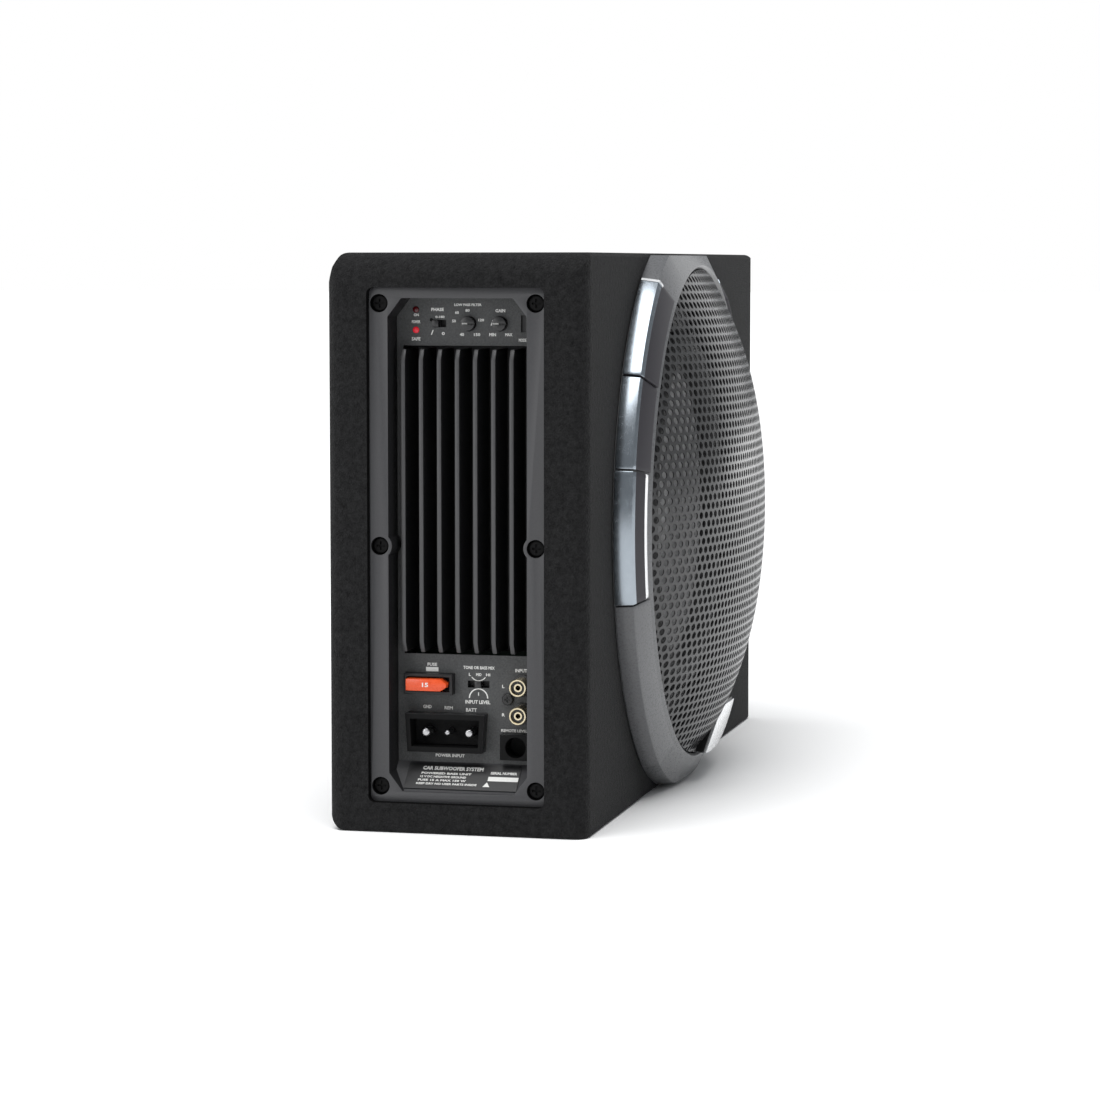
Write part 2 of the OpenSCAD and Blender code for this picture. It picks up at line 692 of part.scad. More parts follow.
module capacitors() {
    color("#2b3a5c") at_amp() for (side = [-1, 1], z = [60, 90])
        translate([0, side * 12, z]) rod_x(main_pcb + pcb_t + seat, main_pcb + 22, 10);
}
module inductor() {
    color("#b06a2c") at_amp() translate([main_pcb + pcb_t + seat, 0, 150]) rotate([0, 90, 0]) tube(0, 14, 20, 9);
}
shaft_r = 1.2;
shaft_out = 1;
pot_d = control_pcb - panel_d - plate_t - 2 * seat;
module pots() {
    color("#3b3c3e") for (place = [frequency_at, gain_at]) at_panel(place) {
        translate([panel_d + plate_t + seat, -5, -5.5]) cube([pot_d, 10, 11]);
        rod_x(panel_d - shaft_out, panel_d + plate_t + 1, shaft_r);
    }
}
knob_out = 3.2;
module knob(place) {
    at_panel(place) difference() {
        rod_x(panel_d - knob_out, panel_d + plate_t - 0.3, knob_r);
        translate([panel_d - knob_out - eps, -knob_r, -0.45]) cube([1.4, 2 * knob_r, 0.9]);
        rod_x(panel_d - shaft_out - 0.3, panel_d + 2 * plate_t, shaft_r + run);
    }
}
module frequency_knob() { color("#202123") knob(frequency_at); }
module gain_knob() { color("#202123") knob(gain_at); }
switch_d = 5;
lever_w = 3;
module switch_body(place, slot) {
    at_panel(place) difference() {
        translate([panel_d + plate_t + seat, -slot[0] / 2 - 2, -slot[1] / 2 - 1.5])
            cube([switch_d, slot[0] + 4, slot[1] + 3]);
        translate([panel_d, -slot[0] / 2, -slot[1] / 2]) cube([plate_t + 3, slot[0], slot[1]]);
    }
}
module lever(place, slot, start) {
    at_panel(place) translate([panel_d - 1.6, start - lever_w / 2, play / 2 - slot[1] / 2])
        cube([plate_t + 3, lever_w, slot[1] - play]);
}
phase_start = 1.6;
level_start = 0;
module phase_switch() { color("#2c2d2f") switch_body(phase_at, phase_slot); }
module phase_lever() { color("#101011") lever(phase_at, phase_slot, phase_start); }
module level_switch() { color("#2c2d2f") switch_body(level_at, level_slot); }
module level_lever() { color("#101011") lever(level_at, level_slot, level_start); }
module slot_insert() {
    color("#0d0d0e") at_panel(slot_at)
        translate([panel_d + plate_t + seat, -mode_slot[0] / 2 - 1, -mode_slot[1] / 2 - 1])
            cube([4, mode_slot[0] + 2, mode_slot[1] + 2]);
}
module status_leds() {
    color("#c4161c") at_panel(led_at) for (z = [0, led_gap]) translate([0, 0, z])
        rod_x(panel_d - 0.8, panel_d + 6, led_r);
}
rca_out = 10;
module rca_shells() {
    color("#b8a274") at_panel(rca_at) for (z = [0, -rca_pitch]) translate([0, 0, z]) difference() {
        rod_x(panel_d - rca_out, panel_d + plate_t + seat, rca_r);
        rod_x(panel_d - rca_out - eps, panel_d + 2 * plate_t, rca_r - 0.6);
    }
}
contact_r = 1.6;
module rca_insulators() {
    color("#2b2b2d") at_panel(rca_at) for (z = [0, -rca_pitch]) translate([0, 0, z]) difference() {
        rod_x(panel_d - rca_out + 1.2, panel_d + plate_t + seat, rca_r - 0.6 - seat);
        rod_x(panel_d - rca_out, panel_d - 1, contact_r);
    }
}
module rca_block() {
    color("#1a1a1b") at_panel(rca_at)
        translate([panel_d + plate_t + 2 * seat, -rca_base[0] / 2, -rca_pitch / 2 - rca_base[1] / 2])
            cube([input_pcb - panel_d - plate_t - 3 * seat, rca_base[0], rca_base[1]]);
}
holder_out = 5;
blade = [0.8, 5];
blade_gap = 11;
blade_l = 7;
fuse_seat = panel_d - 1;
fuse_out = 7.5;
module fuse_holder() {
    color("#151516") at_panel(fuse_at) difference() {
        translate([panel_d - holder_out, -holder_size[0] / 2, -holder_size[1] / 2])
            cube([input_pcb - panel_d + holder_out - seat, holder_size[0], holder_size[1]]);
        translate([panel_d - holder_out - eps, -holder_size[0] / 2 + 1.5, -holder_size[1] / 2 + 1.5])
            cube([fuse_seat - panel_d + holder_out + eps, holder_size[0] - 3, holder_size[1] - 3]);
        for (side = [-1, 1])
            translate([fuse_seat - eps, side * blade_gap / 2 - blade[1] / 2 - run, -blade[0] / 2 - run])
                cube([blade_l + 1, blade[1] + 2 * run, blade[0] + 2 * run]);
    }
}
fuse_nose = 3;
module blade_fuse() {
    l = fuse_body[0] / 2;
    w = fuse_body[1] / 2;
    color("#e8641e") at_panel(fuse_at) {
        along_x(fuse_seat - fuse_out, fuse_seat - play)
            polygon([[fuse_nose - l, -w], [l, -w], [l, w], [fuse_nose - l, w], [-l, 0.8], [-l, -0.8]]);
        for (side = [-1, 1])
            translate([fuse_seat - 1, side * blade_gap / 2 - blade[1] / 2, -blade[0] / 2])
                cube([blade_l, blade[1], blade[0]]);
    }
}
power_out = 7.5;
power_floor = panel_d + 4;
module power_socket() {
    color("#131314") at_panel(power_at) difference() {
        union() {
            translate([panel_d - power_out, -power_size[0] / 2, -power_size[1] / 2])
                cube([power_out - seat, power_size[0], power_size[1]]);
            translate([panel_d - power_out, 1 - power_size[0] / 2, 1 - power_size[1] / 2])
                cube([input_pcb - panel_d + power_out - seat, power_size[0] - 2, power_size[1] - 2]);
        }
        translate([panel_d - power_out - eps, -power_cavity[0] / 2, -power_cavity[1] / 2])
            cube([power_floor - panel_d + power_out + eps, power_cavity[0], power_cavity[1]]);
        for (pin = power_pin_list) translate([0, pin[0], 0]) rod_x(power_floor - 1, input_pcb, pin[1] + seat);
    }
}
// Each pin's place across the socket, and its radius.
power_pin_list = [[9.7, 2], [-0.6, 1.35], [-11, 2]];
module power_pins() {
    color("#b9babd") at_panel(power_at) for (pin = power_pin_list)
        translate([0, pin[0], 0]) rod_x(panel_d - power_out + 2.5, input_pcb - 1, pin[1]);
}
remote_out = 5;
module remote_socket() {
    color("#101011") at_panel(remote_at) difference() {
        translate([panel_d - remote_out, -remote_size[0] / 2, -remote_size[1] / 2])
            cube([input_pcb - panel_d + remote_out - seat, remote_size[0], remote_size[1]]);
        rod_x(panel_d - remote_out - eps, panel_d + 6, remote_hole_r);
    }
}
wire_r = 1.3;
wire_start = [-box_l / 2 + cover_end + play, mid_y + 6, 150];
// Each wire leaves the amplifier's cover and ends on the back of its lug.
module speaker_wires() {
    lug = [driver_x - terminal_r - terminal_t - lug_l / 2, front_y - lug_h + wire_r + seat, driver_z];
    for (side = [-1, 1])
        color(side > 0 ? "#b02a22" : "#1b1b1b") translate([0, 0, side * lug_gap / 2]) wire([
            wire_start, wire_start + [8, 1, 0], wire_start + [16, 2, -4],
            [lug.x - 12, lug.y + 6, lug.z + 4], [lug.x - 6, lug.y + 2, lug.z], lug, lug + [3, 0, 0]
        ], wire_r);
}

carpet_wrap();
carpet_bottom();
board_top();
board_bottom();
board_back();
board_baffle();
board_amp_end();
board_far_end();
basket();
basket_gasket();
basket_screws();
surround();
cone();
dust_cap();
spider();
coil_former();
coil_winding();
top_plate();
magnet();
yoke();
terminal_board();
terminal_lugs();
tinsel_leads();
speaker_wires();
trim_ring();
accents_near();
accents_far();
grille();
badge_plate();
amp_bezel();
amp_gasket();
bezel_screws();
rating_plate();
control_plate();
plate_screw();
heat_sink();
amp_cover();
control_board();
input_board();
main_board();
power_transistors();
capacitors();
inductor();
pots();
frequency_knob();
gain_knob();
phase_switch();
phase_lever();
level_switch();
level_lever();
slot_insert();
status_leds();
rca_shells();
rca_insulators();
rca_block();
fuse_holder();
blade_fuse();
power_socket();
power_pins();
remote_socket();
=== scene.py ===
import bpy
import json
import math
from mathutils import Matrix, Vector


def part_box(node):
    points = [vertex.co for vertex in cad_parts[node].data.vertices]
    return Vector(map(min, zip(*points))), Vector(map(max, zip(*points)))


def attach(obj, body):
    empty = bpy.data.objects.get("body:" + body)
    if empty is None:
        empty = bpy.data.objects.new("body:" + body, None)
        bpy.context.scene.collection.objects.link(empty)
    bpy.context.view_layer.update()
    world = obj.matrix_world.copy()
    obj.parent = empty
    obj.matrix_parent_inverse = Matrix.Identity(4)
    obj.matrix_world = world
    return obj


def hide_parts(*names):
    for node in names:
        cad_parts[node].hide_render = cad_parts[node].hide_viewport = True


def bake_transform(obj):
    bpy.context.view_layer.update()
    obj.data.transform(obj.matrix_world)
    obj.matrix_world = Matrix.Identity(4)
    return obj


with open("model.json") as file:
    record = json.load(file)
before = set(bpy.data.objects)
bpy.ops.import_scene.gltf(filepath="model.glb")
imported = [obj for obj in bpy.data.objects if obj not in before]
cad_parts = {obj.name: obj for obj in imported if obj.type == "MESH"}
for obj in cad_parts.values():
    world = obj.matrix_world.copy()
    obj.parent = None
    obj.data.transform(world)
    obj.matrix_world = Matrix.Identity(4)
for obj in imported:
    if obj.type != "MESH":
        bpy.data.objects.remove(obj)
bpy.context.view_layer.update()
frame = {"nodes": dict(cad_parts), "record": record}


# ---- Camera ---------------------------------------------------------------------
# A long lens, a little below the top of the box, looks at the amplifier's end and
# catches the grille from the side.
turn = math.radians(13.407)
tilt = math.radians(4.884)
bpy.ops.object.camera_add(location=(-1.6861, -0.3739, 0.2622),
                          rotation=(math.pi / 2 - tilt, 0, turn - math.pi / 2))
camera = bpy.context.object
camera.name = "camera"
camera.data.lens = 109.13
camera.data.sensor_width = 36
camera.data.clip_end = 100
bpy.context.scene.camera = camera


# ---- Floor and light ------------------------------------------------------------
# A plain white floor under an even sky, a wide soft lamp high over the camera's side,
# and two softboxes: one left of the camera and one past the box, off the grille.
def deselect():
    """Operators act on all that is selected, so each step starts with nothing."""
    bpy.ops.object.select_all(action="DESELECT")


def new_material(name, colour, rough, metallic=0.0):
    """A plain material of one colour."""
    made = bpy.data.materials.new(name)
    made.use_nodes = True
    shader = made.node_tree.nodes["Principled BSDF"]
    shader.inputs["Base Color"].default_value = (*colour, 1)
    shader.inputs["Roughness"].default_value = rough
    shader.inputs["Metallic"].default_value = metallic
    return made


def aim(way):
    """The turn that points a lamp along a direction."""
    return Vector(way).to_track_quat("-Z", "Y").to_euler()


deselect()
bpy.ops.mesh.primitive_plane_add(size=60, location=(0, 0, 0))
floor = bpy.context.object
floor.name = "floor"
floor.data.materials.append(new_material("floor_white", (0.98, 0.98, 0.98), 0.8))

deselect()
bpy.ops.object.light_add(type="SUN", location=(-1, 0.3, 2), rotation=aim((0.26, -0.05, -0.96)))
high_lamp = bpy.context.object
high_lamp.name = "lamp_high"
high_lamp.data.energy = 3.4
high_lamp.data.angle = math.radians(60)

# Each softbox: where it hangs, its width and height in metres, and its power in watts.
box_middle = Vector((0, 0, 0.14))
for title, place, wide, tall, watts in (("left", Vector((-2.3, 1.45, 0.7)), 0.8, 1.0, 10.5),
                                        ("far", Vector((2.4, -0.95, 0.7)), 1.0, 1.4, 4.5)):
    deselect()
    bpy.ops.object.light_add(type="AREA", location=place, rotation=aim(box_middle - place))
    softbox = bpy.context.object
    softbox.name = "softbox_" + title
    softbox.data.shape = "RECTANGLE"
    softbox.data.size = wide
    softbox.data.size_y = tall
    softbox.data.energy = watts

# The sky lights the object a little blue, and is plain white where the camera sees it.
world = bpy.data.worlds.new("studio")
bpy.context.scene.world = world
world.use_nodes = True
sky = world.node_tree
backdrop = sky.nodes["Background"]
backdrop.inputs["Color"].default_value = (1, 1, 1, 1)
room = sky.nodes.new("ShaderNodeBackground")
room.inputs["Color"].default_value = (0.94, 0.97, 1, 1)
room.inputs["Strength"].default_value = 0.34
seen = sky.nodes.new("ShaderNodeLightPath")
mix_sky = sky.nodes.new("ShaderNodeMixShader")
sky.links.new(seen.outputs["Is Camera Ray"], mix_sky.inputs["Fac"])
sky.links.new(room.outputs[0], mix_sky.inputs[1])
sky.links.new(backdrop.outputs[0], mix_sky.inputs[2])
sky.links.new(mix_sky.outputs[0], sky.nodes["World Output"].inputs["Surface"])
bpy.context.scene.view_settings.view_transform = "Standard"


# ---- Carpet ---------------------------------------------------------------------
# A felted charcoal carpet is glued over the boards and wrapped round their rounded
# edges; the sheet under the box is a separate piece of the same stuff.
mm = 0.001
merge_gap = 0.002 * mm


def node_group(name, inputs, outputs):
    """A shader node group; inputs are (name, value) and outputs (name, socket type)."""
    group = bpy.data.node_groups.new(name, "ShaderNodeTree")
    for title, value in inputs:
        socket = group.interface.new_socket(title, in_out="INPUT", socket_type="NodeSocketFloat")
        socket.default_value = value
    for title, kind in outputs:
        group.interface.new_socket(title, in_out="OUTPUT", socket_type=kind)
    group.nodes.new("NodeGroupInput")
    group.nodes.new("NodeGroupOutput")
    return group


def add(tree, kind, **sets):
    """Adds a shader node and sets its properties."""
    node = tree.nodes.new(kind)
    for key, value in sets.items():
        setattr(node, key, value)
    return node


def join(tree, source, output, target, socket):
    """Links an output of one node to an input of another, both by name."""
    tree.links.new(source.outputs[output], target.inputs[socket])


def make_mottle():
    """Two sizes of noise give a mask for colour and a height for the bump."""
    group = node_group("mottle", [("Coarse", 300.0), ("Fine", 1500.0), ("Share", 0.5)],
                       [("Mask", "NodeSocketFloat"), ("Height", "NodeSocketFloat")])
    given = group.nodes["Group Input"]
    out = group.nodes["Group Output"]
    place = add(group, "ShaderNodeTexCoord")
    coarse = add(group, "ShaderNodeTexNoise")
    fine = add(group, "ShaderNodeTexNoise")
    coarse.inputs["Detail"].default_value = 3
    fine.inputs["Detail"].default_value = 2
    blend = add(group, "ShaderNodeMix")
    for noise, size in ((coarse, "Coarse"), (fine, "Fine")):
        join(group, place, "Object", noise, "Vector")
        join(group, given, size, noise, "Scale")
    join(group, given, "Share", blend, "Factor")
    join(group, coarse, "Fac", blend, "A")
    join(group, fine, "Fac", blend, "B")
    sharp = add(group, "ShaderNodeMapRange")
    sharp.inputs["From Min"].default_value = 0.3
    sharp.inputs["From Max"].default_value = 0.7
    join(group, blend, "Result", sharp, "Value")
    join(group, sharp, "Result", out, "Mask")
    join(group, blend, "Result", out, "Height")
    return group


mottle = make_mottle()


def mottled(name, dark, light, rough, coarse, fine, bump, depth, share=0.5, metallic=0.0,
            rough_spread=0.1):
    """A finish mottled from dark to light. coarse and fine are the scales of its two
    noises, share is the fine one's part, and depth is the height of the bumps."""
    made = new_material(name, dark, rough, metallic)
    tree = made.node_tree
    shader = tree.nodes["Principled BSDF"]
    spots = add(tree, "ShaderNodeGroup", node_tree=mottle)
    spots.inputs["Coarse"].default_value = coarse
    spots.inputs["Fine"].default_value = fine
    spots.inputs["Share"].default_value = share
    tint = add(tree, "ShaderNodeMix", data_type="RGBA")
    tint.inputs["A"].default_value = (*dark, 1)
    tint.inputs["B"].default_value = (*light, 1)
    join(tree, spots, "Mask", tint, "Factor")
    tree.links.new(tint.outputs["Result"], shader.inputs["Base Color"])
    spread = add(tree, "ShaderNodeMapRange")
    spread.inputs["To Min"].default_value = max(0, rough - rough_spread)
    spread.inputs["To Max"].default_value = min(1, rough + rough_spread)
    join(tree, spots, "Mask", spread, "Value")
    join(tree, spread, "Result", shader, "Roughness")
    relief = add(tree, "ShaderNodeBump")
    relief.inputs["Strength"].default_value = bump
    relief.inputs["Distance"].default_value = depth
    join(tree, spots, "Height", relief, "Height")
    join(tree, relief, "Normal", shader, "Normal")
    return made


def set_shader(material, socket, value):
    """Sets a value on a material's shader."""
    material.node_tree.nodes["Principled BSDF"].inputs[socket].default_value = value


def dress(node, material):
    """Gives a CAD node that is shown as it is its material."""
    solid = frame["nodes"][node]
    solid.data.materials.clear()
    solid.data.materials.append(material)


record = frame["record"]
body_of = {node: body for body, nodes in record["behaviour"]["bodies"].items() for node in nodes}


def pick(piece):
    """Selects one piece alone and makes it active."""
    deselect()
    piece.select_set(True)
    bpy.context.view_layer.objects.active = piece


def clothe(piece, name, material, smooth):
    """Names a piece, puts its place in its mesh, and gives it its one material."""
    pick(piece)
    piece.name = name
    piece.data.name = name
    bpy.ops.object.transform_apply(location=True, rotation=True, scale=True)
    bpy.ops.object.shade_smooth_by_angle(angle=math.radians(smooth))
    piece.data.materials.clear()
    piece.data.materials.append(material)


def finish(piece, name, material, node, replaces=True, smooth=30):
    """Smooths a finished piece, and lets it ride and stand for the CAD node."""
    clothe(piece, name, material, smooth)
    if replaces:
        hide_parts(node)
    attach(piece, body_of[node])
    return piece


def apply_modifier(piece, kind, **sets):
    """Adds a modifier with its settings and applies it."""
    pick(piece)
    modifier = piece.modifiers.new(kind.lower(), kind)
    for key, value in sets.items():
        setattr(modifier, key, value)
    bpy.ops.object.modifier_apply(modifier=modifier.name)


def merged_copy(node):
    """A copy of a CAD node with its loose triangles joined and its flat faces whole."""
    solid = frame["nodes"][node]
    piece = solid.copy()
    piece.data = solid.data.copy()
    piece.parent = None
    for key in list(piece.keys()):
        del piece[key]
    bpy.context.collection.objects.link(piece)
    pick(piece)
    bpy.ops.object.mode_set(mode="EDIT")
    bpy.ops.mesh.select_all(action="SELECT")
    bpy.ops.mesh.remove_doubles(threshold=merge_gap)
    bpy.ops.mesh.customdata_custom_splitnormals_clear()
    bpy.ops.mesh.dissolve_limited(angle_limit=math.radians(0.5))
    bpy.ops.object.mode_set(mode="OBJECT")
    return piece


def round_edges(piece, radius, segments, limit=35):
    """Rounds the edges that turn by more than the limit, in degrees."""
    apply_modifier(piece, "BEVEL", width=radius, segments=segments, limit_method="ANGLE",
                   angle_limit=math.radians(limit))


def softened(node, name, material, radius, segments=2, piece=None):
    """The CAD shape, or a changed copy of it, with its sharp edges rounded."""
    piece = piece or merged_copy(node)
    round_edges(piece, radius, segments)
    return finish(piece, name, material, node)


felt = mottled("felt_carpet", (0.0028, 0.0028, 0.0030), (0.0200, 0.0200, 0.0206), rough=0.95,
               coarse=420, fine=1300, bump=1.0, depth=1.2 * mm)
set_shader(felt, "Specular IOR Level", 0.12)
set_shader(felt, "Sheen Weight", 0.04)
# The carpet's walls round the amplifier's opening get a near-black felt: painted shade in the step
# down to the bezel.
painted_shade_edge = mottled("felt_painted_shade_edge", (0.0015, 0.0015, 0.0016), (0.006, 0.006, 0.0062), rough=1,
                   coarse=420, fine=1300, bump=1.0, depth=1 * mm)
set_shader(painted_shade_edge, "Specular IOR Level", 0.05)
carpet = finish(merged_copy("carpet_wrap"), "carpet_skin", felt, "carpet_wrap")
carpet.data.materials.append(painted_shade_edge)
wrap_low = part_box("carpet_wrap")[0]
bezel_low, bezel_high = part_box("amp_bezel")
opening_gap = 2.5 * mm
opening_deep = 8 * mm
for face in carpet.data.polygons:
    x, y, z = face.center
    beside = (bezel_low.y - opening_gap < y < bezel_high.y + opening_gap
              and bezel_low.z - opening_gap < z < bezel_high.z + opening_gap)
    if beside and abs(face.normal.x) < 0.5 and x < wrap_low.x + opening_deep:
        face.material_index = 1
dress("carpet_bottom", felt)


# ---- Boards ---------------------------------------------------------------------
# Brown fibreboard panels, glued at their edges; the carpet hides them.
fibreboard = mottled("fibreboard", (0.30, 0.19, 0.10), (0.46, 0.31, 0.18), rough=0.85, coarse=500,
                     fine=1800, bump=0.25, depth=0.3 * mm)
for side in ("top", "bottom", "back", "baffle", "amp_end", "far_end"):
    dress("board_" + side, fibreboard)


# ---- Trim ring ------------------------------------------------------------------
# One moulding of satin grey plastic screwed to the baffle. Its face leans in to the
# grille, and flats trim it to the height of the box.
magnet_low, magnet_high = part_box("magnet")
grille_low, grille_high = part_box("grille")
axis_x = (magnet_low.x + magnet_high.x) / 2
axis_z = (magnet_low.z + magnet_high.z) / 2
front = wrap_low.y
hub = Vector((axis_x, front, axis_z))
outward = Vector((0, -1, 0))
upward = Vector((0, 0, 1))


def lathe(profile, centre, axis, start, steps, sweep=2 * math.pi, cap=True):
    """Spins a closed list of (radius, height) points about an axis. start is the way
    that the first radius points, and cap closes the ends of a part turn."""
    mesh = bpy.data.meshes.new("lathe")
    points = [centre + start * radius + axis * height for radius, height in profile]
    count = len(points)
    mesh.from_pydata(points, [(k, (k + 1) % count) for k in range(count)], [])
    piece = bpy.data.objects.new("lathe", mesh)
    bpy.context.collection.objects.link(piece)
    pick(piece)
    bpy.ops.object.mode_set(mode="EDIT")
    bpy.ops.mesh.select_all(action="SELECT")
    bpy.ops.mesh.spin(steps=steps, angle=sweep, center=centre, axis=axis)
    bpy.ops.mesh.select_all(action="SELECT")
    bpy.ops.mesh.remove_doubles(threshold=merge_gap)
    if cap:
        bpy.ops.mesh.select_mode(type="EDGE")
        bpy.ops.mesh.select_all(action="DESELECT")
        bpy.ops.mesh.select_non_manifold()
        bpy.ops.mesh.fill_holes(sides=0)
    bpy.ops.mesh.select_all(action="SELECT")
    bpy.ops.mesh.normals_make_consistent(inside=False)
    bpy.ops.object.mode_set(mode="OBJECT")
    return piece


def cut_flat(piece, place, normal):
    """Cuts off what lies past a plane and closes the cut."""
    pick(piece)
    bpy.ops.object.mode_set(mode="EDIT")
    bpy.ops.mesh.select_all(action="SELECT")
    bpy.ops.mesh.bisect(plane_co=place, plane_no=normal, clear_outer=True, use_fill=True)
    bpy.ops.object.mode_set(mode="OBJECT")


ring_low, ring_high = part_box("trim_ring")
ring_r = (ring_high.x - ring_low.x) / 2
ring_lip = front - ring_low.y
wall_h = 8.6 * mm
wall_lean = 1.4 * mm
ring_w = 17.1 * mm
ring_in = ring_r - ring_w
crest = ring_r - wall_lean
lip_round = 1.6 * mm
# A hair of lift keeps two faces from lying in one plane.
hair = 0.05 * mm


def face_height(radius):
    """How far the ring's face stands off the baffle's carpet at a radius."""
    return wall_h + (ring_lip - wall_h) * (crest - radius) / (crest - ring_in - lip_round)


satin = mottled("ring_plastic", (0.100, 0.102, 0.106), (0.120, 0.122, 0.128), rough=0.30,
                coarse=900, fine=4000, share=0.6, bump=0.12, depth=0.05 * mm)
ring = lathe([(ring_in, hair), (ring_r, hair), (crest, wall_h), (ring_in + lip_round, ring_lip),
              (ring_in, ring_lip - lip_round)], hub, outward, upward, 240)
cut_flat(ring, (0, 0, ring_high.z), upward)
cut_flat(ring, (0, 0, ring_low.z), -upward)
round_edges(ring, 0.7 * mm, 3, limit=14)
finish(ring, "ring_moulding", satin, "trim_ring")


# ---- Accents --------------------------------------------------------------------
# Four raised plates on each side of the ring, each a little higher or lower than the
# next. The first three have a brushed metal wall and a dark lacquered face; the last
# is bare satin plastic.
lacquer = mottled("accent_lacquer", (0.028, 0.026, 0.031), (0.036, 0.034, 0.040), rough=0.45,
                  coarse=1200, fine=5000, share=0.6, bump=0.05, depth=0.03 * mm, rough_spread=0.03)
set_shader(lacquer, "Specular IOR Level", 0.3)
# The near-white finish is a painted highlight, on the flat along each third plate's inner edge and
# on the bevel across the first near plate's upper end.
painted_highlight = mottled("accent_painted_highlight", (0.84, 0.85, 0.86), (0.90, 0.91, 0.92), rough=0.16,
                   coarse=300, fine=4000, bump=0.02, depth=0.02 * mm, metallic=0.4,
                   rough_spread=0.04)
wall_metal = mottled("accent_wall", (0.30, 0.335, 0.37), (0.36, 0.40, 0.44), rough=0.24,
                     coarse=300, fine=4000, bump=0.04, depth=0.02 * mm, metallic=1.0,
                     rough_spread=0.05)
accent_inner = ring_in + 5 * mm
accent_slope = 0.8 * mm
accent_foot = 1 * mm


def spoke(degrees):
    """The way that points out from the woofer's axis, counted from +X upwards."""
    return Vector((math.cos(math.radians(degrees)), 0, math.sin(math.radians(degrees))))


def accent(first, last, lift, strip):
    """One raised plate. strip is the width of the flat along its inner edge, which carries a
    painted highlight.
    """
    inner = accent_inner + accent_slope
    flat_height = face_height(inner + strip) + lift
    profile = [(ring_r + hair, accent_foot), (ring_r + lift, accent_foot),
               (crest + lift, wall_h + lift / 2), (crest, wall_h + lift),
               (inner + strip, flat_height)]
    if strip:
        profile.append((inner, flat_height + 0.15 * strip))
    profile += [(accent_inner, face_height(accent_inner) + hair), (crest, wall_h + hair)]
    steps = max(8, round(abs(last - first)))
    piece = lathe(profile, hub, outward, spoke(first), steps, math.radians(first - last))
    round_edges(piece, 0.35 * mm, 2, limit=8)
    return piece


def metal_wall_and_highlight(piece, strip):
    """Gives the outer wall the metal finish, and the flat along the inner edge a painted
    highlight.
    """
    piece.data.materials.append(wall_metal)
    piece.data.materials.append(painted_highlight)
    for face in piece.data.polygons:
        radius = math.hypot(face.center.x - hub.x, face.center.z - hub.z)
        if radius > crest + 0.3 * mm:
            face.material_index = 1
        elif strip and radius < accent_inner + accent_slope + 0.1 * mm + strip:
            face.material_index = 2


def painted_highlight_tip(first, turn_by, lift):
    """The bevel across the upper end of the first plate's wall, bright with a painted highlight.
    """
    height = wall_h + lift
    proud = 0.15 * mm
    foot = 1.2 * mm
    inner = crest - 2.4 * mm
    profile = [(inner, height - 0.6 * mm), (ring_r + lift - 0.5 * mm, foot),
               (ring_r + lift + proud, foot), (crest + lift + proud, wall_h + lift / 2 + 0.2 * mm),
               (crest, height + 0.3 * mm), (inner, height + 0.7 * mm)]
    return lathe(profile, hub, outward, spoke(first), 3, math.radians(turn_by))


# Each plate's first and last angle about the woofer in degrees, its lift and its flat in
# mm, and its finish.
plates = [(123.6, 148.8, 2.3, 0, lacquer), (149.2, 167.9, 1.8, 0, lacquer),
          (168.3, 194.3, 2.1, 3.6, lacquer), (194.7, 239, 1.5, 0, satin)]
for side, node in (("near", "accents_near"), ("far", "accents_far")):
    for number, (first, last, lift, strip, finish_coat) in enumerate(plates):
        if side == "far":
            first, last = 180 - first, 180 - last
        plate = accent(first, last, lift * mm, strip * mm)
        finish(plate, f"accent_{side}_{number + 1}", finish_coat, node)
        if finish_coat == lacquer:
            metal_wall_and_highlight(plate, strip * mm)
tip = painted_highlight_tip(plates[0][0], -0.7, plates[0][2] * mm)
finish(tip, "accent_near_tip", painted_highlight, "accents_near", replaces=False)


# ---- Grille ---------------------------------------------------------------------
# A domed sheet of satin painted steel, punched with staggered rows of round holes,
# with a turned-in skirt that the ring traps against the baffle.
grille_r = (grille_high.x - grille_low.x) / 2
apex = front - grille_low.y
dome_edge = ring_lip - 1.3 * mm
fullness = 2.7
hole_r = 1.72 * mm
hole_gap = 4.85 * mm
row_gap = hole_gap * math.sqrt(3) / 2
sheet_t = 0.6 * mm
tile_gap = 0.02 * mm


def dome_height(radius):
    """How far the domed sheet stands off the baffle's carpet at a radius."""
    return dome_edge + (apex - dome_edge) * (1 - min(1, radius / grille_r) ** fullness)


def hole_cell(centre):
    """A six-sided tile of sheet round one hole, in the grille's own plane."""
    corner = hole_gap / math.sqrt(3)
    deselect()
    loops = []
    for radius in (hole_r, hole_gap / 2):
        bpy.ops.mesh.primitive_circle_add(vertices=12, radius=radius, location=centre,
                                          rotation=(math.pi / 2, 0, 0))
        loops.append(bpy.context.object)
    inner, outer = loops
    for vertex in outer.data.vertices:
        angle = math.degrees(math.atan2(vertex.co.y, vertex.co.x))
        if round(angle / 30) % 2:
            vertex.co = vertex.co.normalized() * corner
    inner.select_set(True)
    bpy.ops.object.join()
    tile = bpy.context.object
    bpy.ops.object.mode_set(mode="EDIT")
    bpy.ops.mesh.select_all(action="SELECT")
    bpy.ops.mesh.bridge_edge_loops()
    bpy.ops.object.mode_set(mode="OBJECT")
    bpy.ops.object.transform_apply(location=True, rotation=True, scale=True)
    return tile


rows = 2 * math.ceil(grille_r / row_gap) + 1
across = 2 * math.ceil(grille_r / hole_gap) + 1
first_hole = hub + Vector((-(across // 2) * hole_gap, 0, -(rows // 2) * row_gap))
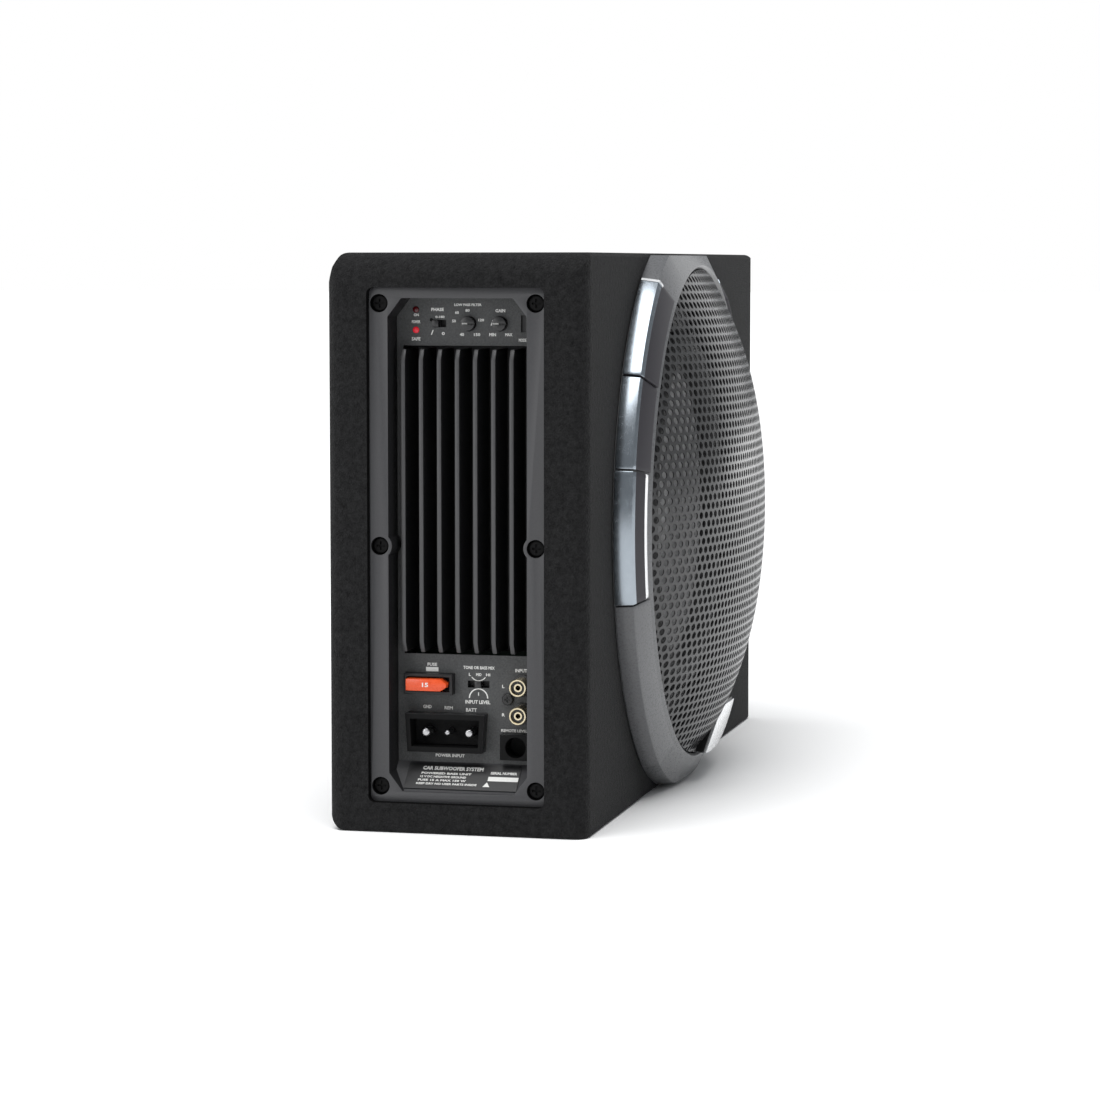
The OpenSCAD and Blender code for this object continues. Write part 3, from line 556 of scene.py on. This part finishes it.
# Two tiles, half a hole apart, make the start of two rows.
sheet = hole_cell(first_hole)
hole_cell(first_hole + Vector((hole_gap / 2, 0, row_gap)))
sheet.select_set(True)
bpy.context.view_layer.objects.active = sheet
bpy.ops.object.join()
for count, step in ((across, (hole_gap, 0, 0)), (rows // 2 + 1, (0, 0, 2 * row_gap))):
    apply_modifier(sheet, "ARRAY", count=count, use_relative_offset=False,
                   use_constant_offset=True, constant_offset_displace=step)


def select_faces(piece, wanted):
    """Selects the faces whose centre the test accepts, in face mode."""
    bpy.context.view_layer.objects.active = piece
    bpy.ops.object.mode_set(mode="EDIT")
    bpy.ops.mesh.select_mode(type="FACE")
    bpy.ops.mesh.select_all(action="DESELECT")
    bpy.ops.object.mode_set(mode="OBJECT")
    for face in piece.data.polygons:
        face.select = wanted(face.center - hub)
    bpy.ops.object.mode_set(mode="EDIT")


badge_low, badge_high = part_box("badge_plate")
badge_gap = 0.8 * mm
badge_top = badge_high.z - hub.z + badge_gap
badge_left = badge_low.x - hub.x
badge_run = 47 * mm
badge_slope = (badge_high.z - hub.z + ring_in) / badge_run


def under_badge(point):
    """True inside the notch that the badge sits in."""
    near_edge = -ring_in + (point.x - badge_left) * badge_slope
    return point.z < badge_top and point.z < near_edge + badge_gap and point.x > badge_left


select_faces(sheet, lambda p: math.hypot(p.x, p.z) > grille_r + 0.2 * mm or under_badge(p))
bpy.ops.mesh.delete(type="FACE")
bpy.ops.mesh.select_all(action="SELECT")
bpy.ops.mesh.remove_doubles(threshold=tile_gap)
bpy.ops.object.mode_set(mode="OBJECT")
for vertex in sheet.data.vertices:
    flat = Vector((vertex.co.x - hub.x, 0, vertex.co.z - hub.z))
    if flat.length > grille_r:
        flat = flat.normalized() * grille_r
    vertex.co = hub + flat + outward * dome_height(flat.length)
bpy.ops.object.mode_set(mode="EDIT")
bpy.ops.mesh.select_all(action="SELECT")
bpy.ops.mesh.remove_doubles(threshold=tile_gap)
bpy.ops.mesh.dissolve_degenerate(threshold=0.01 * mm)
bpy.ops.mesh.normals_make_consistent(inside=False)
bpy.ops.object.mode_set(mode="OBJECT")
if sum(face.normal.y * face.area for face in sheet.data.polygons) > 0:
    sheet.data.flip_normals()
apply_modifier(sheet, "SOLIDIFY", thickness=sheet_t, offset=-1)
steel_paint = mottled("grille_paint", (0.030, 0.030, 0.031), (0.042, 0.042, 0.043), rough=0.25,
                      coarse=1500, fine=6000, bump=0.1, depth=0.03 * mm)
finish(sheet, "grille_sheet", steel_paint, "grille", smooth=40)

skirt_low = 2 * mm
skirt_high = 3 * mm
flange_r = grille_r - 8 * mm
skirt = lathe([(grille_r, skirt_low), (grille_r, dome_edge),
               (grille_r - sheet_t, dome_edge - 0.3 * mm), (grille_r - sheet_t, skirt_high),
               (flange_r, skirt_high), (flange_r, skirt_low)], hub, outward, upward, 160)
finish(skirt, "grille_skirt", steel_paint, "grille")


# ---- Badge ----------------------------------------------------------------------
# A blank bright plate in the lower corner of the grille, held in a dark frame.
badge_face = mottled("badge_metal", (0.80, 0.81, 0.82), (0.86, 0.87, 0.88), rough=0.22, coarse=400,
                     fine=6000, bump=0.04, depth=0.02 * mm, metallic=0.6)
# The frame is the plate's own shape, set behind it and out past two of its edges.
badge_frame = merged_copy("badge_plate")
frame_rim = 1.1 * mm
frame_back = 1 * mm
pick(badge_frame)
bpy.ops.transform.translate(value=(-frame_rim, frame_back, frame_rim))
black_paint = mottled("screw_black", (0.004, 0.004, 0.0045), (0.009, 0.009, 0.0095), rough=0.40,
                      coarse=1500, fine=6000, bump=0.1, depth=0.03 * mm)
finish(badge_frame, "badge_frame", black_paint, "badge_plate", replaces=False)
softened("badge_plate", "badge_blank", badge_face, 0.4 * mm)


# ---- Woofer ---------------------------------------------------------------------
# A stamped steel basket holds a paper cone on a rubber roll; it shows through the
# grille's holes.
cone_skin = mottled("cone_paper", (0.24, 0.24, 0.245), (0.34, 0.34, 0.345), rough=0.45, coarse=260,
                    fine=2200, bump=0.35, depth=0.2 * mm)
rubber = mottled("surround_rubber", (0.018, 0.018, 0.019), (0.026, 0.026, 0.027), rough=0.45,
                 coarse=600, fine=3000, bump=0.15, depth=0.1 * mm)
basket_paint = mottled("basket_paint", (0.022, 0.022, 0.024), (0.03, 0.03, 0.032), rough=0.4,
                       coarse=800, fine=3500, bump=0.15, depth=0.08 * mm)
foam = mottled("gasket_foam", (0.010, 0.010, 0.010), (0.018, 0.018, 0.018), rough=0.9, coarse=1500,
               fine=5000, bump=0.5, depth=0.2 * mm)
plated = mottled("plated_steel", (0.42, 0.42, 0.43), (0.52, 0.52, 0.53), rough=0.3, coarse=700,
                 fine=4000, bump=0.08, depth=0.04 * mm, metallic=1.0)
ferrite = mottled("ferrite", (0.028, 0.028, 0.030), (0.04, 0.04, 0.043), rough=0.6, coarse=900,
                  fine=3000, bump=0.3, depth=0.1 * mm)
cloth = mottled("spider_cloth", (0.42, 0.27, 0.09), (0.55, 0.37, 0.14), rough=0.9, coarse=1500,
                fine=4000, bump=0.5, depth=0.2 * mm)
amber = mottled("former_film", (0.34, 0.19, 0.06), (0.42, 0.25, 0.09), rough=0.4, coarse=900,
                fine=4000, bump=0.1, depth=0.05 * mm)
copper = mottled("copper_wire", (0.50, 0.20, 0.08), (0.62, 0.27, 0.12), rough=0.35, coarse=1500,
                 fine=5000, bump=0.3, depth=0.08 * mm, metallic=1.0)
gold = mottled("socket_gold", (0.60, 0.52, 0.35), (0.70, 0.62, 0.45), rough=0.28, coarse=900,
               fine=4000, bump=0.08, depth=0.03 * mm, metallic=1.0)
jacket = mottled("wire_jacket", (0.24, 0.015, 0.015), (0.32, 0.03, 0.025), rough=0.5, coarse=900,
                 fine=3000, bump=0.1, depth=0.05 * mm)
for node, material in (("cone", cone_skin), ("dust_cap", cone_skin), ("basket", basket_paint),
                       ("basket_gasket", foam), ("basket_screws", black_paint),
                       ("coil_former", amber), ("coil_winding", copper), ("top_plate", plated),
                       ("magnet", ferrite), ("yoke", plated), ("terminal_board", amber),
                       ("terminal_lugs", gold), ("speaker_wires", jacket)):
    dress(node, material)


def bending_ring(name, node, material, profile):
    """A ring in sectors, each turned a share of the way round the woofer and finished by bend."""
    sectors = 24
    step = 360 / sectors
    for number in range(sectors):
        begin = number * step
        piece = lathe(profile, hub, outward, spoke(begin), 3, -math.radians(step), cap=False)
        bend(piece, f"{name}_{number + 1:02d}", material, node)


def bend(piece, name, material, node):
    """Names and smooths a piece, gives it its material, hides the CAD node that it
    stands for, and bakes its place into its mesh.
    """
    clothe(piece, name, material, 40)
    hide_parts(node)
    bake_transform(piece)


roll_out = 92 * mm
roll_r = 8 * mm
roll_mid = roll_out - roll_r
rubber_t = 1 * mm
lip_t = 0.8 * mm
lip_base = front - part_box("basket")[0].y + hair
lip_top = lip_base + lip_t
lip_outer = roll_out + 3 * mm
lip_inner = roll_mid - roll_r - 4 * mm


def half_round(radius, base):
    """Points over a half circle round the roll's middle, from its outer side."""
    return [(roll_mid + radius * math.cos(math.pi * k / 12),
             base + radius * math.sin(math.pi * k / 12)) for k in range(13)]


roll = ([(lip_outer, lip_base), (lip_outer, lip_top)] + half_round(roll_r, lip_top)
        + [(lip_inner, lip_top), (lip_inner, lip_base)]
        + half_round(roll_r - rubber_t, lip_base)[::-1])
bending_ring("surround", "surround", rubber, roll)

spider_low, spider_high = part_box("spider")
spider_out = (spider_high.x - spider_low.x) / 2
spider_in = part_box("coil_former")[1].x - hub.x + hair
spider_base = front - spider_high.y
cloth_t = 0.8 * mm
wave_h = 1.25 * mm
waves = 3
points = 24
upper = [(spider_in + (spider_out - spider_in) * k / points,
          spider_base + cloth_t + wave_h * (1 - math.cos(2 * waves * math.pi * k / points)))
         for k in range(points + 1)]
lower = [(radius, height - cloth_t) for radius, height in reversed(upper)]
bending_ring("spider", "spider", cloth, upper + lower)

leads = merged_copy("tinsel_leads")
bend(leads, "tinsel_pair", copper, "tinsel_leads")


# ---- Amplifier bezel ------------------------------------------------------------
# A grey moulded frame sunk into the end of the box, with a deep well, held by six
# black cross-head screws in deep round recesses. A printed label lies on its ramp.
bezel_plastic = mottled("bezel_plastic", (0.040, 0.040, 0.043), (0.052, 0.052, 0.055), rough=0.42,
                        coarse=1300, fine=5200, bump=0.25, depth=0.05 * mm)
set_shader(bezel_plastic, "Specular IOR Level", 0.4)
# Black for the screw heads themselves, and painted shade where it fills the screws' recesses, a
# pinhole and the sockets' hollows.
black_and_painted_shade = mottled("black_and_painted_shade", (0.002, 0.002, 0.0022), (0.004, 0.004, 0.0042), rough=0.6,
                       coarse=1500, fine=6000, bump=0.1, depth=0.03 * mm)
set_shader(black_and_painted_shade, "Specular IOR Level", 0.15)
screws_low, screws_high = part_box("bezel_screws")
head_r = 3.6 * mm
recess_r = 4.35 * mm
bezel_rim = 6 * mm
screw_places = [(across, up) for across in (screws_low.y + head_r, screws_high.y - head_r)
                for up in (screws_low.z + head_r, (screws_low.z + screws_high.z) / 2,
                           screws_high.z - head_r)]
# The well's walls that face right or down, inside the rim and deeper than 1.5 mm, get a darker
# grey: painted shade.
painted_shade_wall = mottled("bezel_wall_painted_shade", (0.010, 0.010, 0.011), (0.015, 0.015, 0.016), rough=0.6,
                      coarse=1300, fine=5200, bump=0.25, depth=0.05 * mm)
set_shader(painted_shade_wall, "Specular IOR Level", 0.2)
bezel = softened("amp_bezel", "bezel_moulding", bezel_plastic, 0.5 * mm)
# Faces inside the screws' round recesses are painted black: painted shade.
bezel.data.materials.append(black_and_painted_shade)
bezel.data.materials.append(painted_shade_wall)
for face in bezel.data.polygons:
    spot = face.center
    deep = spot.x - bezel_low.x
    spread = min(math.hypot(spot.y - across, spot.z - up) for across, up in screw_places)
    inside = bezel_low.y + bezel_rim < spot.y < bezel_high.y - bezel_rim
    turned_away = face.normal.y < -0.6 or face.normal.z < -0.5
    if spread < recess_r and deep > 0.25 * mm:
        face.material_index = 1
    elif inside and deep > 1.5 * mm and turned_away:
        face.material_index = 2
dress("amp_gasket", foam)


def cross_cut(piece, places, face_x, arm, bar, deep):
    """Cuts a cross recess of two bars, arm by bar, into each screw head."""
    for wide, tall in ((arm, bar), (bar, arm)):
        deselect()
        cutters = []
        for across, up in places:
            bpy.ops.mesh.primitive_cube_add(size=1, location=(face_x, across, up),
                                            scale=(2 * deep, wide, tall))
            cutters.append(bpy.context.object)
        for cutter in cutters:
            cutter.select_set(True)
        bpy.context.view_layer.objects.active = cutters[0]
        if len(cutters) > 1:
            bpy.ops.object.join()
        cutter = bpy.context.object
        apply_modifier(piece, "BOOLEAN", operation="DIFFERENCE", object=cutter, solver="EXACT")
        pick(cutter)
        bpy.ops.object.delete()


heads = merged_copy("bezel_screws")
round_edges(heads, 0.5 * mm, 3)
cross_cut(heads, screw_places, screws_low.x, 4.2 * mm, 1.0 * mm, 1.0 * mm)
finish(heads, "bezel_screw_heads", black_and_painted_shade, "bezel_screws")
label = mottled("label_black", (0.008, 0.008, 0.009), (0.013, 0.013, 0.014), rough=0.4, coarse=900,
                fine=5000, bump=0.05, depth=0.02 * mm)
dress("rating_plate", label)

# Print is thin white ink. A face is its middle point and its lean from level; a place
# on it is across (to the left, seen from outside) and up.
ink = mottled("white_ink", (0.62, 0.62, 0.60), (0.78, 0.78, 0.76), rough=0.5, coarse=1500,
              fine=6000, bump=0.05, depth=0.01 * mm)
ink_t = 0.03 * mm
# The way that the panel faces.
end_way = Vector((-1, 0, 0))


def on_face(face, across, up):
    """The point at a place on a face, in mm from its middle."""
    middle, lean = face
    rise = Vector((math.cos(lean), 0, math.sin(lean)))
    return middle + Vector((0, across * mm, 0)) + rise * up * mm


def word(face, text, across, up, width, height):
    """A printed word, centred on its place, width by height mm."""
    deselect()
    bpy.ops.object.text_add(location=on_face(face, across, up),
                            rotation=(face[1], 0, -math.pi / 2))
    letters = bpy.context.object
    letters.data.body = text
    letters.data.align_x = "CENTER"
    letters.data.align_y = "CENTER"
    letters.data.size = 2 * mm
    letters.data.resolution_u = 2
    letters.data.extrude = ink_t
    letters.data.offset = 0.055 * mm
    bpy.ops.object.convert(target="MESH")
    letters = bpy.context.object
    wide, tall = letters.dimensions.xy
    letters.scale = (width * mm / wide, height * mm / tall, 1)
    return letters


def bar(face, across, up, width, height):
    """A printed rectangle."""
    deselect()
    bpy.ops.mesh.primitive_cube_add(size=1, location=on_face(face, across, up),
                                    rotation=(face[1], 0, -math.pi / 2),
                                    scale=(width * mm, height * mm, 2 * ink_t))
    return bpy.context.object


def disc(face, across, up, radius, corners=20):
    """A printed disc, or a triangle if it has three corners."""
    deselect()
    bpy.ops.mesh.primitive_cylinder_add(vertices=corners, radius=radius * mm, depth=2 * ink_t,
                                        location=on_face(face, across, up),
                                        rotation=(face[1], 0, -math.pi / 2))
    return bpy.context.object


def arc(face, across, up, radius, line, first, sweep):
    """A printed line along part of a circle; angles are in degrees from +Y, upwards."""
    begin = math.radians(first)
    way = Vector((0, math.cos(begin), math.sin(begin)))
    inner = (radius - line / 2) * mm
    outer = (radius + line / 2) * mm
    profile = [(inner, -ink_t), (outer, -ink_t), (outer, ink_t), (inner, ink_t)]
    return lathe(profile, on_face(face, across, up), end_way, way, 16, math.radians(sweep))


def printed(marks, name, node, material=ink):
    """Joins marks into one piece that rides with the node that they are printed on."""
    deselect()
    for mark in marks:
        mark.select_set(True)
    bpy.context.view_layer.objects.active = marks[0]
    bpy.ops.object.transform_apply(location=True, rotation=True, scale=True)
    if len(marks) > 1:
        bpy.ops.object.join()
    return finish(bpy.context.object, name, material, node, replaces=False)


label_low, label_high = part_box("rating_plate")
label_lean = math.radians(40.6)
label_lift = Vector((-math.sin(label_lean), 0, math.cos(label_lean))) * 0.24 * mm
label_face = ((label_low + label_high) / 2 + label_lift, label_lean)
# Each line of print: its words, how far across and up it is, and its width and height.
lines = [("CAR SUBWOOFER SYSTEM", 5.4, 4.8, 29, 2.2), ("POWERED BASS UNIT", 8.2, 1.7, 24, 1.2),
         ("12 V DC NEGATIVE GROUND", 9.4, -0.4, 22, 1.2),
         ("FUSE 15 A MAX 150 W", 9.6, -2.5, 23, 1.2),
         ("KEEP DRY NO USER PARTS INSIDE", 7, -4.7, 29, 1.2),
         ("SERIAL NUMBER", -19.2, 2.9, 12.6, 1.5)]
marks = [word(label_face, *line) for line in lines]
marks += [bar(label_face, -19.5, -0.6, 14.4, 2.6), disc(label_face, -12.2, -4.6, 1.9, 3)]
printed(marks, "rating_print", "rating_plate")


# ---- Control panel --------------------------------------------------------------
# A steel plate in speckled dark grey paint, with printed white marks, held to the
# signal sockets' block by one small black screw.
panel_paint = mottled("panel_paint", (0.028, 0.029, 0.030), (0.095, 0.097, 0.098), rough=0.55,
                      coarse=1400, fine=3200, share=0.6, bump=0.5, depth=0.12 * mm)
set_shader(panel_paint, "Specular IOR Level", 0.3)
dress("control_plate", panel_paint)
plate_low, plate_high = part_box("control_plate")
panel_x = plate_low.x
mid_y = (plate_low.y + plate_high.y) / 2
knob_low, knob_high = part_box("frequency_knob")
control_z = (knob_low.z + knob_high.z) / 2
print_x = panel_x - 0.02 * mm
foot_face = (Vector((print_x, mid_y, 0)), math.pi / 2)
head_face = (Vector((print_x, mid_y, control_z)), math.pi / 2)
# Each word, how far across and up it is, and its width and height, in mm.
upper_words = [("PHASE", 13.5, 6.4, 6, 1.5), ("0-180", 12.3, 3, 4.4, 1.1),
               ("/", 16, -4.2, 1.3, 2.2), ("o", 10.7, -4.4, 1.5, 1.5),
               ("LOW PASS FILTER", -1, 8.6, 13, 1.2), ("80", -0.9, 6, 2, 1.3),
               ("60", 4.2, 5, 1.8, 1.3), ("50", 5.6, 1.1, 1.8, 1.3), ("120", -7.2, 1.6, 2.7, 1.2),
               ("40", 1.8, -5.1, 2, 1.5), ("150", -5.2, -5.1, 3, 1.4),
               ("GAIN", -16.5, 5.9, 4.6, 1.5), ("MIN", -12.8, -5.1, 3.2, 1.5),
               ("MAX", -20.4, -5.1, 3.4, 1.4), ("/", -12.6, 0.3, 1.5, 2.6),
               ("MODE", -27, -7.6, 3.6, 1.5), ("ON", 23.6, 3.9, 2.4, 1.3),
               ("POWER", 23.8, 0.7, 4, 1.4), ("SAFE", 23.8, -7.2, 4.2, 1.6)]
lower_words = [("FUSE", 16.5, 76.6, 4.6, 1.5), ("TONE OR BASS MIX", -6, 75.6, 15, 1.5),
               ("L", -1.6, 72.4, 1, 1.4), ("MID", -5.9, 72.4, 2.6, 1.3),
               ("HI", -10.4, 72.4, 2, 1.3), ("INPUT LEVEL", -5.4, 59.5, 12, 1.7),
               ("GND", 18.9, 56.7, 4, 1.6), ("REM", 8.6, 56.4, 4, 1.5),
               ("BATT", -2.3, 55.7, 5.2, 1.7), ("INPUT", -26.2, 74.8, 5.7, 1.6),
               ("L", -17.6, 67.2, 1.1, 1.5), ("R", -17.6, 53.9, 1.4, 1.5),
               ("REMOTE LEVEL", -22.9, 46.6, 12.6, 1.3), ("POWER INPUT", 8, 34, 14, 1.5),
               ("I", -5.8, 63.3, 0.4, 1.6)]
marks = [word(head_face, *entry) for entry in upper_words]
marks += [word(foot_face, *entry) for entry in lower_words]
marks += [bar(foot_face, 16.5, 74.4, 6, 2), arc(foot_face, -5.8, 61.4, 4.4, 0.55, 0, 180),
          arc(foot_face, -5.8, 73.6, 4, 0.4, 215, 110)]
printed(marks, "panel_print", "control_plate")
# The pinhole is a black disc: painted shade in a hole.
printed([disc(head_face, 16.4, 1.7, 0.8)], "phase_pinhole", "control_plate", black_and_painted_shade)
screw_low, screw_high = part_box("plate_screw")
small_screw = merged_copy("plate_screw")
round_edges(small_screw, 0.7 * mm, 3)
screw_mid = (screw_low + screw_high) / 2
cross_cut(small_screw, [screw_mid.yz], screw_low.x, 2.6 * mm, 0.6 * mm, 0.8 * mm)
finish(small_screw, "plate_screw_head", black_paint, "plate_screw")


# ---- Heat sink ------------------------------------------------------------------
# A black anodised extrusion of seven tall fins, bolted behind the panel's window. The
# fins' front faces are painted paler: painted light from the lamps in front.
anodised = mottled("sink_black", (0.012, 0.012, 0.013), (0.020, 0.020, 0.021), rough=0.42,
                   coarse=900, fine=4500, bump=0.12, depth=0.04 * mm, metallic=0.5)
painted_fin_light = mottled("sink_painted_fin_light", (0.050, 0.050, 0.052), (0.068, 0.068, 0.070), rough=0.42,
                   coarse=900, fine=4500, bump=0.1, depth=0.03 * mm, metallic=0.3)
sink_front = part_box("heat_sink")[0].x
fin_edge = 6 * mm
sink = softened("heat_sink", "sink_extrusion", anodised, 0.35 * mm)
sink.data.materials.append(painted_fin_light)
# Forward-facing faces near the fins' front get the paler finish, as painted light.
for face in sink.data.polygons:
    if face.normal.x < -0.15 and face.center.x < sink_front + fin_edge:
        face.material_index = 1


# ---- Amplifier's inside ---------------------------------------------------------
# Circuit boards and power parts under a folded steel cover, out of sight.
board_green = mottled("board_green", (0.007, 0.035, 0.016), (0.010, 0.050, 0.022), rough=0.4,
                      coarse=400, fine=3000, bump=0.1, depth=0.05 * mm)
moulded = mottled("component_black", (0.010, 0.010, 0.011), (0.017, 0.017, 0.018), rough=0.42,
                  coarse=1400, fine=5000, bump=0.15, depth=0.04 * mm)
set_shader(moulded, "Specular IOR Level", 0.35)
capacitor = mottled("capacitor_blue", (0.018, 0.035, 0.11), (0.024, 0.045, 0.13), rough=0.3,
                    coarse=600, fine=3000, bump=0.05, depth=0.03 * mm)
for node, material in (("amp_cover", plated), ("control_board", board_green),
                       ("input_board", board_green), ("main_board", board_green),
                       ("power_transistors", moulded), ("capacitors", capacitor),
                       ("inductor", copper), ("pots", moulded)):
    dress(node, material)


# ---- Controls -------------------------------------------------------------------
# Two small black controls with a screwdriver slot and a white bar across the face, two
# slide switches, an upright slot and two domed lights: the lower is lit, the upper is off.
knob_black = mottled("knob_black", (0.010, 0.010, 0.011), (0.017, 0.017, 0.018), rough=0.35,
                     coarse=1500, fine=6000, bump=0.1, depth=0.03 * mm)
for node in ("frequency_knob", "gain_knob", "phase_lever", "level_lever"):
    softened(node, node + "_cap", knob_black, 0.2 * mm)
for node in ("frequency_knob", "gain_knob"):
    low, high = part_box(node)
    knob_face = (Vector((low.x + 1.25 * mm, (low.y + high.y) / 2, control_z)), math.pi / 2)
    printed([bar(knob_face, 1.55, 0, 2.6, 0.7)], node + "_pointer", node)
for node in ("phase_switch", "level_switch", "slot_insert"):
    dress(node, moulded)
lens_lit = mottled("led_lit", (0.32, 0.006, 0.012), (0.40, 0.010, 0.018), rough=0.15, coarse=600,
                   fine=3000, bump=0.02, depth=0.01 * mm)
set_shader(lens_lit, "Emission Color", (1, 0.03, 0.06, 1))
set_shader(lens_lit, "Emission Strength", 0.28)
lens_dim = mottled("led_dim", (0.055, 0.002, 0.004), (0.075, 0.003, 0.006), rough=0.15, coarse=600,
                   fine=3000, bump=0.02, depth=0.01 * mm)
leds_low, leds_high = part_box("status_leds")
led_r = (leds_high.y - leds_low.y) / 2
led_back = leds_high.x - panel_x
leftward = Vector((0, 1, 0))
dome = [(led_r * math.cos(math.pi * k / 12), 0.2 * mm + 0.6 * mm * math.sin(math.pi * k / 12))
        for k in range(7)]
for title, up, lens in (("lower", leds_low.z + led_r, lens_lit),
                        ("upper", leds_high.z - led_r, lens_dim)):
    led_foot = Vector((panel_x, (leds_low.y + leds_high.y) / 2, up))
    led = lathe([(0, -led_back), (led_r, -led_back)] + dome, led_foot, end_way, leftward, 24)
    finish(led, "led_" + title, lens, "status_leds")


# ---- Sockets and fuse -----------------------------------------------------------
# Plated signal sockets on a black block, a blade fuse in its holder, a three-pin
# power socket that narrows downwards, and a remote socket.
dark_plastic = mottled("insulator_dark", (0.016, 0.016, 0.017), (0.024, 0.024, 0.025), rough=0.4,
                       coarse=900, fine=4000, bump=0.08, depth=0.03 * mm)
shells_low, shells_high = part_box("rca_shells")
shell_r = (shells_high.y - shells_low.y) / 2
shell_out = panel_x - shells_low.x
shell_back = shells_high.x - panel_x
bore_r = shell_r - 1 * mm
contact_r = 1.9 * mm
contact_in = contact_r - 0.7 * mm
contact_foot = 1 * mm
contact_out = shell_out - 1 * mm
insulator_out = shell_out - 1.8 * mm
collar_r = shell_r + 0.95 * mm
# Each turned piece: its node, its material, whether it stands for the node, its profile.
pieces_of_socket = {
    "shell": ("rca_shells", gold, True,
              [(bore_r, -shell_back), (shell_r, -shell_back), (shell_r, shell_out - 0.4 * mm),
               (shell_r - 0.25 * mm, shell_out), (bore_r + 0.15 * mm, shell_out),
               (bore_r, shell_out - 0.3 * mm)]),
    "contact": ("rca_shells", gold, False,
                [(contact_in, contact_foot), (contact_in, contact_out),
                 (contact_r, contact_out), (contact_r, contact_foot)]),
    "insulator": ("rca_insulators", dark_plastic, True,
                  [(0, -shell_back), (bore_r, -shell_back), (bore_r, insulator_out),
                   (contact_r, insulator_out), (contact_r, contact_foot), (0, contact_foot)]),
    "collar": ("rca_insulators", dark_plastic, False,
               [(shell_r, -1 * mm), (collar_r, -1 * mm), (collar_r, 1 * mm), (shell_r, 1.4 * mm)])}
for title, up in (("upper", shells_high.z - shell_r), ("lower", shells_low.z + shell_r)):
    foot = Vector((panel_x, (shells_low.y + shells_high.y) / 2, up))
    for part, (node, material, stands_for, profile) in pieces_of_socket.items():
        turned = lathe(profile, foot, end_way, leftward, 36)
        finish(turned, f"signal_{part}_{title}", material, node, replaces=stands_for)
dress("rca_block", moulded)
orange = mottled("fuse_orange", (0.62, 0.055, 0.007), (0.76, 0.090, 0.016), rough=0.28, coarse=300,
                 fine=3000, bump=0.08, depth=0.04 * mm)
softened("fuse_holder", "fuse_holder_body", moulded, 0.3 * mm)
fuse_low, fuse_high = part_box("blade_fuse")
softened("blade_fuse", "fuse_body", orange, 0.3 * mm)
fuse_mid = (fuse_low + fuse_high) / 2
fuse_face = (Vector((fuse_low.x - 0.01 * mm, fuse_mid.y, fuse_mid.z)), math.pi / 2)
printed([word(fuse_face, "15", 0.6, 0, 3, 2)], "fuse_print", "blade_fuse")
socket_low, socket_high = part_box("power_socket")
socket_mid = (socket_low + socket_high) / 2
power_body = merged_copy("power_socket")
# The body is this share narrower at its foot than at its top.
narrowing = 0.055
for vertex in power_body.data.vertices:
    if vertex.co.x < panel_x + 0.2 * mm:
        drop = (socket_high.z - vertex.co.z) / (socket_high.z - socket_low.z)
        vertex.co.y = socket_mid.y + (vertex.co.y - socket_mid.y) * (1 - narrowing * drop)
power_body = softened("power_socket", "power_socket_body", moulded, 0.6 * mm, piece=power_body)
# The faces inside the power socket's cavity are painted black: painted shade.
power_body.data.materials.append(black_and_painted_shade)
cavity_half_w = 16.9 * mm
cavity_half_h = 6.6 * mm
for face in power_body.data.polygons:
    from_mid = face.center - socket_mid
    if abs(from_mid.y) < cavity_half_w and abs(from_mid.z) < cavity_half_h:
        face.material_index = 1
softened("power_pins", "power_socket_pins", plated, 1 * mm, segments=4)
remote_low, remote_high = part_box("remote_socket")
remote_mid = (remote_low + remote_high) / 2
remote_body = softened("remote_socket", "remote_socket_body", moulded, 0.3 * mm)
# The remote socket's bore is painted black: painted shade.
remote_body.data.materials.append(black_and_painted_shade)
remote_bore_r = 5 * mm
for face in remote_body.data.polygons:
    if (face.center - remote_mid).yz.length < remote_bore_r:
        face.material_index = 1
